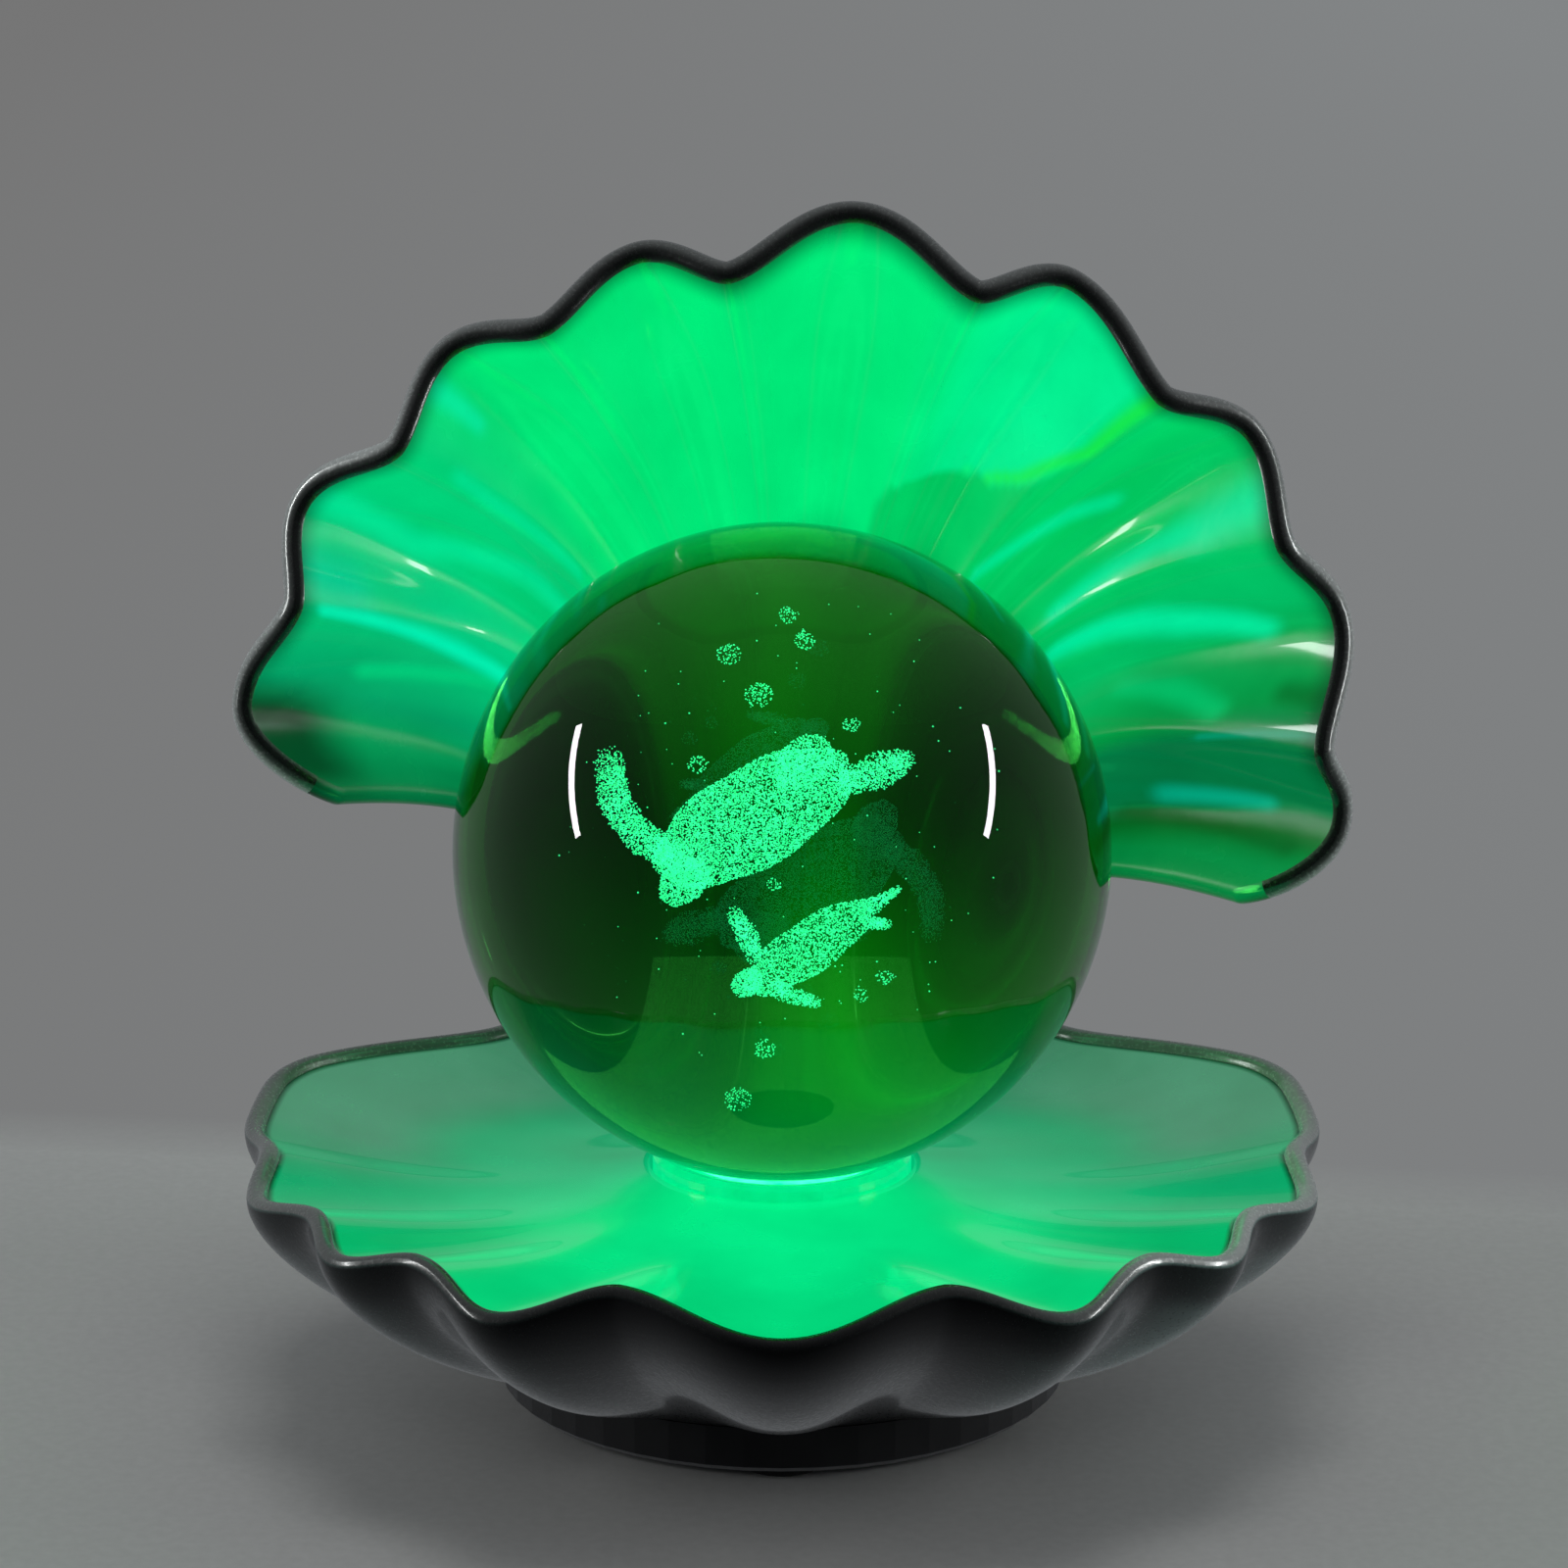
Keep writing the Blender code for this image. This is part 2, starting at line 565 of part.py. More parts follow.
def make_base_plate(material):
    """Black cup under the casting: rim wall, floor, three screw posts, cell opening and switch slot."""
    low = PAD_THICKNESS
    soft = 0.5 * MM
    profile = [(0.0, low), (FOOT_RADIUS - soft, low), (FOOT_RADIUS, low + soft),
               (FOOT_RADIUS, FOOT_TOP_Z - GAP), (FOOT_INNER_RADIUS, FOOT_TOP_Z - GAP),
               (FOOT_INNER_RADIUS, FOOT_FLOOR_Z), (0.0, FOOT_FLOOR_Z)]
    bm = bmesh.new()
    add_turned(bm, profile, 48)
    plate = place("base_plate", to_mesh("base_plate", bm), material)

    posts = bmesh.new()
    for angle in SCREW_ANGLES:
        add_cylinder(posts, 2.6 * MM, FOOT_FLOOR_Z - 1 * MM, FOOT_TOP_Z - GAP,
                     on_circle(FIXING_RADIUS, angle))
    join(plate, "join_posts", posts)

    bay_x, bay_y = BAY_SIZE[0] / 2, BAY_SIZE[1] / 2
    recess = bmesh.new()
    add_prism(recess, door_outline(GAP), -1 * MM, low + DOOR_THICKNESS + GAP)
    cut(plate, "cut_door_recess", recess)
    bay = bmesh.new()
    add_box(bay, (-bay_x, STACK_Y - bay_y, 0.0), (bay_x, STACK_Y + bay_y, 10 * MM))
    cut(plate, "cut_cell_bay", bay)
    finger = bmesh.new()
    add_box(finger, (-5.0 * MM, SWITCH_Y - 2.6 * MM, -1 * MM),
            (5.0 * MM, SWITCH_Y + 2.6 * MM, low + 1.0 * MM))
    cut(plate, "cut_finger_recess", finger)
    slot = bmesh.new()
    add_box(slot, (-2.6 * MM, SWITCH_Y - 1.1 * MM, 0.0), (2.6 * MM, SWITCH_Y + 1.1 * MM, 10 * MM))
    cut(plate, "cut_switch_slot", slot)
    holes = bmesh.new()
    for angle in SCREW_ANGLES:
        add_cylinder(holes, HOLE_RADIUS, -1 * MM, 10 * MM, on_circle(FIXING_RADIUS, angle))
    add_cylinder(holes, HOLE_RADIUS, -1 * MM, 10 * MM, (0.0, DOOR_TAB_Y))
    cut(plate, "cut_screw_holes", holes)
    heads = bmesh.new()
    for angle in SCREW_ANGLES:
        add_cylinder(heads, SCREW_HEAD_RADIUS + GAP, -1 * MM, low + 1.3 * MM, on_circle(FIXING_RADIUS, angle))
    cut(plate, "cut_screw_heads", heads)
    return plate


def make_foot_fixings(mats):
    for place_name, angle in zip(("front", "right", "left"), PAD_ANGLES):
        pad = bmesh.new()
        add_cylinder(pad, 3.6 * MM, 0.0, PAD_THICKNESS - GAP / 2, on_circle(FIXING_RADIUS, angle), 24)
        place(f"non_slip_pad_{place_name}", to_mesh("non_slip_pad", pad), mats["rubber"])
    for place_name, angle in zip(("back", "right", "left"), SCREW_ANGLES):
        screw_part(f"base_screw_{place_name}", on_circle(FIXING_RADIUS, angle), PAD_THICKNESS + 1.0 * MM,
                   SCREW_HEAD_RADIUS, 0.9 * MM, SCREW_SHANK_RADIUS, SCREW_TIP_Z, mats["steel"])


def door_outline(grow):
    """The battery door's outline, a rectangle with a round-ended screw tab, grown by a margin."""
    half_x, half_y = DOOR_SIZE[0] / 2 + grow, DOOR_SIZE[1] / 2 + grow
    tab = DOOR_TAB_RADIUS + grow
    outline = [(half_x, STACK_Y - half_y), (half_x, STACK_Y + half_y),
               (-half_x, STACK_Y + half_y), (-half_x, STACK_Y - half_y), (-tab, STACK_Y - half_y)]
    steps = 12
    for i in range(steps + 1):
        a = math.pi * (1.0 + i / steps)
        outline.append((tab * math.cos(a), DOOR_TAB_Y + tab * math.sin(a)))
    outline.append((tab, STACK_Y - half_y))
    return outline


def make_battery_door(mats):
    low = PAD_THICKNESS
    door = bmesh.new()
    add_prism(door, door_outline(0.0), low, low + DOOR_THICKNESS)
    plate = place("battery_door", to_mesh("battery_door", door), mats["black"])
    hole = bmesh.new()
    add_cylinder(hole, HOLE_RADIUS, 0.0, 10 * MM, (0.0, DOOR_TAB_Y))
    cut(plate, "cut_door_hole", hole)

    screw_part("door_screw", (0.0, DOOR_TAB_Y), low - 0.2 * MM, 1.9 * MM, 0.5 * MM, SCREW_SHANK_RADIUS,
               8.0 * MM, mats["steel"])


def make_cells(mats):
    centre_z = PAD_THICKNESS + DOOR_THICKNESS + GAP + CELL_RADIUS
    step = 0.5 * MM
    cell_profile = [(0.0, 0.0), (CELL_RADIUS, 0.0), (CELL_RADIUS, CELL_LENGTH - step),
                    (CELL_RADIUS - step, CELL_LENGTH - step), (CELL_RADIUS - step, CELL_LENGTH),
                    (0.0, CELL_LENGTH)]
    for i in range(CELL_COUNT):
        x = (i - (CELL_COUNT - 1) / 2) * CELL_SPACING - CELL_LENGTH / 2
        turned_part(f"button_cell_{i + 1}", cell_profile, mats["steel"], 24,
                    centre=(x, STACK_Y, centre_z), axis="X")

    bay_x, bay_y = BAY_SIZE[0] / 2, BAY_SIZE[1] / 2
    wall = 0.7 * MM
    roof = centre_z + CELL_RADIUS + GAP
    tray = bmesh.new()
    add_box(tray, (-bay_x - wall, STACK_Y - bay_y - wall, FOOT_FLOOR_Z + GAP),
            (bay_x + wall, STACK_Y + bay_y + wall, roof + wall))
    tray_obj = place("battery_tray", to_mesh("battery_tray", tray), mats["black"])
    inside = bmesh.new()
    add_box(inside, (-bay_x, STACK_Y - bay_y, 0.0), (bay_x, STACK_Y + bay_y, roof))
    cut(tray_obj, "cut_tray_inside", inside)
    slots = bmesh.new()
    for x in (-bay_x - wall / 2, bay_x + wall / 2):
        add_box(slots, (x - wall, STACK_Y - 0.9 * MM, 10.4 * MM), (x + wall, STACK_Y + 0.9 * MM, 12.2 * MM))
    cut(tray_obj, "cut_lead_slots", slots)

    stack_end = (CELL_COUNT * CELL_SPACING) / 2
    for name, side in (("positive_contact", 1), ("negative_contact", -1)):
        outer = side * (bay_x - 0.15 * MM)
        inner = outer - side * CONTACT_THICKNESS
        plate = bmesh.new()
        add_box(plate, (min(outer, inner), STACK_Y - 4.5 * MM, 4.2 * MM),
                (max(outer, inner), STACK_Y + 4.5 * MM, 12.6 * MM))
        place(name, to_mesh(name, plate), mats["nickel"])

    start = -(bay_x - 0.15 * MM - CONTACT_THICKNESS) + 0.55 * MM
    end = -stack_end - 0.35 * MM
    turns, per_turn = 2.2, 10
    count = int(turns * per_turn)
    coil = []
    for i in range(count + 1):
        f = i / count
        a = 2.0 * math.pi * turns * f
        radius = (3.4 - 1.4 * f) * MM
        coil.append((start + (end - start) * f, STACK_Y + radius * math.cos(a),
                     centre_z + radius * math.sin(a)))
    wire_part("contact_spring", coil, 0.2 * MM, mats["nickel"])


def make_switch(mats):
    body = bmesh.new()
    add_box(body, (-4.4 * MM, SWITCH_Y - 2.4 * MM, FOOT_FLOOR_Z + GAP),
            (4.4 * MM, SWITCH_Y + 2.4 * MM, SWITCH_TOP_Z))
    body_obj = place("switch_body", to_mesh("switch_body", body), mats["nickel"])
    pocket = bmesh.new()
    add_box(pocket, (-3.3 * MM, SWITCH_Y - 1.8 * MM, 0.0), (3.3 * MM, SWITCH_Y + 1.8 * MM, 5.2 * MM))
    cut(body_obj, "cut_switch_pocket", pocket)

    slider = bmesh.new()
    add_box(slider, (-1.7 * MM, -1.5 * MM, 3.6 * MM), (1.7 * MM, 1.5 * MM, 4.9 * MM))
    slider_obj = place("switch_slider", to_mesh("switch_slider", slider), mats["black"],
                       (SWITCH_REST_X, SWITCH_Y, 0.0))
    stem = bmesh.new()
    add_box(stem, (-1.2 * MM, -0.8 * MM, 1.1 * MM), (1.2 * MM, 0.8 * MM, 4.0 * MM))
    join(slider_obj, "join_stem", stem, (SWITCH_REST_X, SWITCH_Y, 0.0))

    for i in range(3):
        x = (i - 1) * 2.5 * MM
        pin = bmesh.new()
        add_box(pin, (x - 0.3 * MM, SWITCH_Y - 0.2 * MM, SWITCH_TOP_Z + GAP / 2),
                (x + 0.3 * MM, SWITCH_Y + 0.2 * MM, 10.0 * MM))
        place(f"switch_pin_{i + 1}", to_mesh("switch_pin", pin), mats["nickel"])


def make_leads(mats):
    """Three short leads. Each stops one gap short of the metal that it is soldered to."""
    bay_x = BAY_SIZE[0] / 2
    outside = bay_x + 1.7 * MM
    red = [(bay_x + 0.3 * MM, STACK_Y, 11.3 * MM), (outside, STACK_Y, 11.3 * MM),
           (outside + 1.6 * MM, STACK_Y + 3.5 * MM, 12.2 * MM), (12.4 * MM, 4.8 * MM, 13.6 * MM),
           (10.0 * MM, 6.2 * MM, 14.6 * MM), (8.5 * MM, 5.8 * MM, 15.3 * MM)]
    black = [(-bay_x - 0.3 * MM, STACK_Y, 11.3 * MM), (-outside, STACK_Y, 11.3 * MM),
             (-outside - 2.4 * MM, STACK_Y + 3.0 * MM, 10.6 * MM), (-10.5 * MM, 8.5 * MM, 10.2 * MM),
             (-6.0 * MM, 12.6 * MM, 10.4 * MM), (-3.6 * MM, SWITCH_Y, 9.6 * MM)]
    link = [(0.0, SWITCH_Y + 0.9 * MM, 9.6 * MM), (0.4 * MM, SWITCH_Y + 1.8 * MM, 11.8 * MM),
            (0.8 * MM, 12.4 * MM, 13.8 * MM), (0.9 * MM, 9.8 * MM, 14.6 * MM),
            (1.0 * MM, 8.2 * MM, 15.3 * MM)]
    wire_part("red_wire", smooth_route(red), LEAD_RADIUS, mats["red"])
    wire_part("black_wire", smooth_route(black), LEAD_RADIUS, mats["black"])
    wire_part("switch_wire", smooth_route(link), LEAD_RADIUS, mats["yellow"])


def build():
    mats = {
        "pearl": make_material("pearl_resin", (0.78, 0.80, 0.77), 0.22),
        "glass": make_material("optical_glass", (0.80, 0.95, 0.86), 0.02),
        "clear": make_material("clear_silicone", (0.70, 0.90, 0.82), 0.15),
        "frosted": make_material("frosted_acrylic", (0.75, 0.95, 0.85), 0.55),
        "white": make_material("white_plastic", (0.90, 0.90, 0.88), 0.35),
        "board": make_material("circuit_board", (0.02, 0.22, 0.09), 0.45),
        "lamp": make_material("lamp_package", (0.10, 0.95, 0.45), 0.30),
        "ceramic": make_material("resistor_ceramic", (0.06, 0.06, 0.07), 0.50),
        "black": make_material("black_plastic", (0.015, 0.015, 0.016), 0.50),
        "rubber": make_material("black_rubber", (0.02, 0.02, 0.02), 0.85),
        "steel": make_material("zinc_steel", (0.62, 0.62, 0.60), 0.30, 1.0),
        "nickel": make_material("nickel_plate", (0.72, 0.70, 0.66), 0.28, 1.0),
        "red": make_material("red_insulation", (0.60, 0.03, 0.02), 0.45),
        "yellow": make_material("yellow_insulation", (0.75, 0.55, 0.05), 0.45),
    }
    make_lower_valve(mats["pearl"])
    make_upper_valve(mats["pearl"])
    make_neck_dowels(mats["steel"])
    make_crystal_ball(mats["glass"])
    make_light_parts(mats)
    make_board(mats)
    make_base_plate(mats["black"])
    make_foot_fixings(mats)
    make_battery_door(mats)
    make_cells(mats)
    make_switch(mats)
    make_leads(mats)


clear_scene()
LAMP_AXIS = bpy.data.objects.new("lamp_axis", None)
LAMP_AXIS.location = (AXIS_X, AXIS_Y, 0.0)
bpy.context.scene.collection.objects.link(LAMP_AXIS)
build()
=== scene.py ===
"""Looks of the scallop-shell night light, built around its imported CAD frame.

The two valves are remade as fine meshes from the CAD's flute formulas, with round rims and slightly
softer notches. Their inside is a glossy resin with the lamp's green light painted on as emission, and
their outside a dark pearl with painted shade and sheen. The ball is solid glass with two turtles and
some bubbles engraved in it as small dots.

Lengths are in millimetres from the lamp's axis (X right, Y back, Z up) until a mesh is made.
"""
import math

import bpy
import numpy as np
from mathutils import Matrix, Vector


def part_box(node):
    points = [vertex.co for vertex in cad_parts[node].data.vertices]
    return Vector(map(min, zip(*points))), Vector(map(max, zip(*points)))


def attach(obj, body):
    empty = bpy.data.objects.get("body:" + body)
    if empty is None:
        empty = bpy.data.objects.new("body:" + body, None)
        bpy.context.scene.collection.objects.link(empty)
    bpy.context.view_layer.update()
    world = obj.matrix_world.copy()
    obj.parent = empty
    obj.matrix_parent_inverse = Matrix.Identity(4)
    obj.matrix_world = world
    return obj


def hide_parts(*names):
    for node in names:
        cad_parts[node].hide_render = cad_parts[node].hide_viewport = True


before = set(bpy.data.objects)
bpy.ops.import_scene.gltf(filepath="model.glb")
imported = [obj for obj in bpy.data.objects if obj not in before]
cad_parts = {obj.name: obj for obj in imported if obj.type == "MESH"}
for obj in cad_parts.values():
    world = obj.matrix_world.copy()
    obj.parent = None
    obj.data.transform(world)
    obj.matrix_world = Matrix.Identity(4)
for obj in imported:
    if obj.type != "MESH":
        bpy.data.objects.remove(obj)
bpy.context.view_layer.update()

MM = 0.001
scene = bpy.context.scene
scene.view_settings.view_transform = "Standard"

# ---------------------------------------------------------------- sizes

ball_low, ball_high = [np.array(corner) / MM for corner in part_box("crystal_ball")]
BALL_RADIUS = 0.5 * (ball_high[2] - ball_low[2])
AXIS = 0.5 * (ball_low + ball_high) * np.array([1.0, 1.0, 0.0])     # the lamp axis, from the origin
BALL_CENTRE = np.array([0.0, 0.0, 0.5 * (ball_low[2] + ball_high[2])])

WALL = 2.3
GAP = 0.3
FOOT_TOP_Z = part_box("lower_valve")[0].z / MM
FOOT_EDGE_RADIUS = 26.8
LOWER_RADIUS = 49.2
LOWER_BACK_RADIUS = 38.5
LOWER_NOTCHES = (17.3, 42.0, 60.5, 83.5)
LOWER_EAR_PEAK = 95.0
LOWER_LOBE = 1.9            # how far the lobes stand out, and how far their tips hang down
LOWER_DROP = 1.3
RIM_Z = 22.8
EAR_RISE = 2.6
SEAT_Z = 21.2
SEAT_POCKET_RADIUS = 12.3
SEAT_LEDGE_Z = 19.2
LEDGE_Z = 23.0
LEDGE_FRONT_Y = 28.2
NECK_HALF_WIDTH = 11.6
NECK_DEPTH = 8.0
SOFT_NOTCH = 0.14           # 0 is a round notch between two lobes, 1 a pointed one
SOFTER_NOTCH = 0.10

UPPER_CENTRE = (1.5, 9.0, 54.5)
UPPER_TURN = math.radians(6.3)
UPPER_LEAN = 0.176
UPPER_EAR_ANGLE = 98.5
UPPER_RIM = [(-98.5, 47.0), (-88.0, 52.2), (-76.5, 49.4), (-67.5, 52.7), (-56.3, 48.3), (-46.0, 51.0),
             (-35.3, 47.9), (-23.9, 50.2), (-14.2, 47.0), (0.0, 51.9), (13.9, 47.8), (23.0, 52.1),
             (37.0, 48.9), (47.0, 52.8), (57.4, 50.0), (67.0, 52.6), (79.6, 48.6), (87.0, 50.8),
             (98.5, 47.0)]
UPPER_DEPTH = 25.1
UPPER_FLUTE = 1.8
EAR_ROUNDING = 0.12         # share of an ear's length that its corner is cut back


# ---------------------------------------------------------------- curves shared with the CAD

def ease(values, start, end):
    """0 at start, rising smoothly to 1 at end."""
    t = np.clip((values - start) / (end - start), 0.0, 1.0)
    return t * t * (3.0 - 2.0 * t)


def hump(values, centre, half_width):
    """1 at centre, fading to 0 one half width either side."""
    t = np.clip(1.0 - np.abs(values - centre) / half_width, 0.0, 1.0)
    return t * t * (3.0 - 2.0 * t)


def crest_to_notch(t, sharpness):
    """0 at the crest and 1 at the notch, round at both ends unless the notch is sharp."""
    soft = 0.5 * (1.0 - np.cos(np.pi * t))
    sharp = 1.0 - np.cos(0.5 * np.pi * t)
    return (1.0 - sharpness) * soft + sharpness * sharp


def follow_knots(knots, angles, sharpness=SOFT_NOTCH):
    """Values at angles, from knots of (angle, value) that alternate between crest and notch."""
    knot_angles, knot_values = np.array(knots).T
    slots = np.clip(np.searchsorted(knot_angles, angles) - 1, 0, len(knots) - 2)
    a0, a1 = knot_angles[slots], knot_angles[slots + 1]
    v0, v1 = knot_values[slots], knot_values[slots + 1]
    t = np.clip((angles - a0) / (a1 - a0), 0.0, 1.0)
    falling = v0 + (v1 - v0) * crest_to_notch(t, sharpness)
    rising = v1 + (v0 - v1) * crest_to_notch(1.0 - t, sharpness)
    return np.where(v0 >= v1, falling, rising)


def lower_wave(degrees):
    knots = [(0.0, 1.0)]
    for first, second in zip(LOWER_NOTCHES, LOWER_NOTCHES[1:]):
        knots += [(first, -1.0), (0.5 * (first + second), 1.0)]
    knots += [(LOWER_NOTCHES[-1], -1.0), (LOWER_EAR_PEAK, 1.0)]
    calm = 1.0 - 0.45 * ease(np.abs(degrees), 26, 46)
    return follow_knots(knots, np.abs(degrees), SOFTER_NOTCH) * calm * (1.0 - ease(np.abs(degrees), 102, 133))


def lower_rim(degrees):
    a = np.abs(degrees)
    wave = lower_wave(degrees)
    radius = LOWER_RADIUS + (LOWER_BACK_RADIUS - LOWER_RADIUS) * ease(a, 102, 133) + LOWER_LOBE * wave
    ear = ease(a, LOWER_NOTCHES[-1], 110)
    return radius, RIM_Z - LOWER_DROP * wave * (1.0 - ear) + EAR_RISE * ear


def upper_wave(degrees):
    knots = [(angle, -1.0 if i % 2 == 0 else 1.0) for i, (angle, _) in enumerate(UPPER_RIM)]
    knots[0] = (knots[0][0], 0.4)
    knots[-1] = (knots[-1][0], 0.4)
    return follow_knots(knots, degrees)


def turned_in_plane(across, up):
    return (UPPER_CENTRE[0] + across * math.cos(UPPER_TURN) + up * math.sin(UPPER_TURN),
            UPPER_CENTRE[2] - across * math.sin(UPPER_TURN) + up * math.cos(UPPER_TURN))


def flute_angle(degrees, along):
    """The rim angle that a flute at this place runs out to: the flutes draw together towards the neck."""
    share = degrees / UPPER_EAR_ANGLE
    squeeze = 0.42 * (1.0 - along) * (1.0 - share ** 4)
    return degrees / (1.0 - squeeze)


def upper_flute(degrees, along):
    """Depth of the fluting: sharp ridges between lobes and a fainter ridge down the middle of each lobe."""
    angle = np.clip(flute_angle(degrees, along), -UPPER_EAR_ANGLE, UPPER_EAR_ANGLE)
    wave = upper_wave(angle)
    folded = 1.0 - 2.0 * (0.5 * (1.0 - wave)) ** 1.35
    rise = 1.0 - (1.0 - along) ** 2
    depth = UPPER_FLUTE * rise * (wave + (folded - wave) * (1.0 - ease(along, 0.8, 1.0)))
    for tip_angle, _ in UPPER_RIM[1::2]:
        middle = np.exp(-((angle - tip_angle) / 2.6) ** 2)
        depth = depth - 0.75 * middle * ease(along, 0.45, 0.7) * (1.0 - ease(along, 0.8, 0.97))
    return depth


def upper_front(side, along):
    degrees = side * UPPER_EAR_ANGLE
    radius = follow_knots(UPPER_RIM, degrees)
    across = radius * np.sin(np.radians(degrees))
    up = radius * np.cos(np.radians(degrees))
    ear_level = -8.0
    middle = turned_in_plane(0.52 * across, ear_level + 0.62 * (up - ear_level))
    rim = turned_in_plane(across, up)
    t = along
    weights = ((1 - t) ** 3, 3 * t * (1 - t) ** 2, 3 * t ** 2 * (1 - t), t ** 3)
    x = weights[0] * NECK_HALF_WIDTH * side + weights[1] * 10.5 * side
    x = x + weights[2] * middle[0] + weights[3] * rim[0]
    z = weights[0] * (LEDGE_Z + GAP) + weights[1] * 41.0 + weights[2] * middle[1] + weights[3] * rim[1]
    y = UPPER_CENTRE[1] + UPPER_LEAN * (z - UPPER_CENTRE[2]) + UPPER_DEPTH * (1.0 - t ** 3)
    return np.stack([x, y + upper_flute(degrees, along), z], axis=-1)


def unit(vectors):
    return vectors / np.maximum(np.linalg.norm(vectors, axis=-1, keepdims=True), 1e-9)


def upper_normal(side, along):
    """Unit normals of the inner face, towards the back."""
    d = 0.006
    over_side = upper_front(side + d, along) - upper_front(side - d, along)
    over_along = upper_front(side, along + d) - upper_front(side, along - d)
    normal = unit(np.cross(over_along, over_side))
    return np.where(normal[..., 1:2] < 0, -normal, normal)


# ---------------------------------------------------------------- mesh helpers

def link(name, mesh, body):
    obj = bpy.data.objects.new(name, mesh)
    scene.collection.objects.link(obj)
    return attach(obj, body)


def mesh_from(name, points, faces, materials, face_slots=None):
    """A smooth mesh from points in millimetres on the lamp axis."""
    mesh = bpy.data.meshes.new(name)
    mesh.from_pydata(((np.asarray(points) + AXIS) * MM).tolist(), [], faces)
    for material in materials:
        mesh.materials.append(material)
    if face_slots is not None:
        mesh.polygons.foreach_set("material_index", np.asarray(face_slots).astype(np.int32))
    mesh.shade_smooth()
    mesh.validate()
    return mesh


def paint(mesh, colours, name="lamp_light"):
    """Stores one linear colour for each point: the lamp's diffuse light there, painted as emission, or the
    tone of the coat with its painted shade and sheen.
    """
    layer = mesh.color_attributes.new(name, "FLOAT_COLOR", "POINT")
    rgba = np.ones((len(colours), 4), np.float32)
    rgba[:, :3] = colours
    layer.data.foreach_set("color", rgba.ravel())


# ---------------------------------------------------------------- node helpers

def new_material(name):
    """A material with nodes, its tree and its shader."""
    material = bpy.data.materials.new(name)
    material.use_nodes = True
    return material, material.node_tree, material.node_tree.nodes["Principled BSDF"]


def set_inputs(node, **values):
    for label, value in values.items():
        node.inputs[label.replace("_", " ")].default_value = value


def object_noise(tree, scale, detail=3.0, roughness=0.5, stretch=None, kind="ShaderNodeTexNoise"):
    """Noise in the object's own coordinates. stretch scales X, Y and Z before it."""
    place = tree.nodes.new("ShaderNodeTexCoord")
    source = place.outputs["Object"]
    if stretch is not None:
        mapping = tree.nodes.new("ShaderNodeMapping")
        mapping.inputs["Scale"].default_value = stretch
        tree.links.new(source, mapping.inputs["Vector"])
        source = mapping.outputs["Vector"]
    noise = tree.nodes.new(kind)
    noise.inputs["Scale"].default_value = scale
    if kind == "ShaderNodeTexNoise":
        noise.inputs["Detail"].default_value = detail
        noise.inputs["Roughness"].default_value = roughness
    tree.links.new(source, noise.inputs["Vector"])
    return noise


def ramp(tree, source, stops):
    """Colour ramp fed by source, with stops of (position, colour)."""
    node = tree.nodes.new("ShaderNodeValToRGB")
    elements = node.color_ramp.elements
    while len(elements) < len(stops):
        elements.new(0.5)
    for element, (position, colour) in zip(elements, stops):
        element.position = position
        element.color = (*colour, 1.0)
    tree.links.new(source, node.inputs["Fac"])
    return node.outputs["Color"]


def to_range(tree, source, low, high, source_low=0.0, source_high=1.0):
    node = tree.nodes.new("ShaderNodeMapRange")
    node.inputs["From Min"].default_value = source_low
    node.inputs["From Max"].default_value = source_high
    node.inputs["To Min"].default_value = low
    node.inputs["To Max"].default_value = high
    tree.links.new(source, node.inputs["Value"])
    return node.outputs["Result"]


def bump(tree, shader, source, distance, strength=0.5, before=None):
    node = tree.nodes.new("ShaderNodeBump")
    node.inputs["Distance"].default_value = distance
    node.inputs["Strength"].default_value = strength
    tree.links.new(source, node.inputs["Height"])
    if before is not None:
        tree.links.new(before, node.inputs["Normal"])
    tree.links.new(node.outputs["Normal"], shader.inputs["Normal"])
    return node.outputs["Normal"]


def multiply(tree, first, second):
    node = tree.nodes.new("ShaderNodeMix")
    node.data_type = "RGBA"
    node.blend_type = "MULTIPLY"
    node.inputs["Factor"].default_value = 1.0
    tree.links.new(first, node.inputs[6])
    tree.links.new(second, node.inputs[7])
    return node.outputs[2]


# ---------------------------------------------------------------- materials

def lit_resin():
    """Glossy cast resin on the inside of a valve. The lamp's light on it is painted, as emission from the
    colours stored on its mesh.
    """
    material, tree, shader = new_material("lit_resin")
    lamp = tree.nodes.new("ShaderNodeVertexColor")
    lamp.layer_name = "lamp_light"
    cloud = object_noise(tree, 90.0, 4.0, 0.55)
    veil = ramp(tree, cloud.outputs["Fac"], [(0.3, (0.86, 0.86, 0.84)), (0.7, (1.0, 1.0, 1.0))])
    glow = multiply(tree, lamp.outputs["Color"], veil)
    tree.links.new(glow, shader.inputs["Emission Color"])
    shader.inputs["Emission Strength"].default_value = 1.0
    # Painted shade: the base colour is a near-black green, far darker than the white resin, so that studio
    # light adds little to the painted lamp light.
    body = ramp(tree, cloud.outputs["Fac"], [(0.2, (0.001, 0.04, 0.016)), (0.8, (0.003, 0.06, 0.026))])
    tree.links.new(body, shader.inputs["Base Color"])
    tree.links.new(to_range(tree, cloud.outputs["Fac"], 0.2, 0.32), shader.inputs["Roughness"])
    set_inputs(shader, Coat_Weight=0.5, Coat_Roughness=0.05, Specular_IOR_Level=0.3)
    ripple = object_noise(tree, 260.0, 3.0, 0.5)
    bump(tree, shader, ripple.outputs["Fac"], 0.00012, 0.35)
    return material


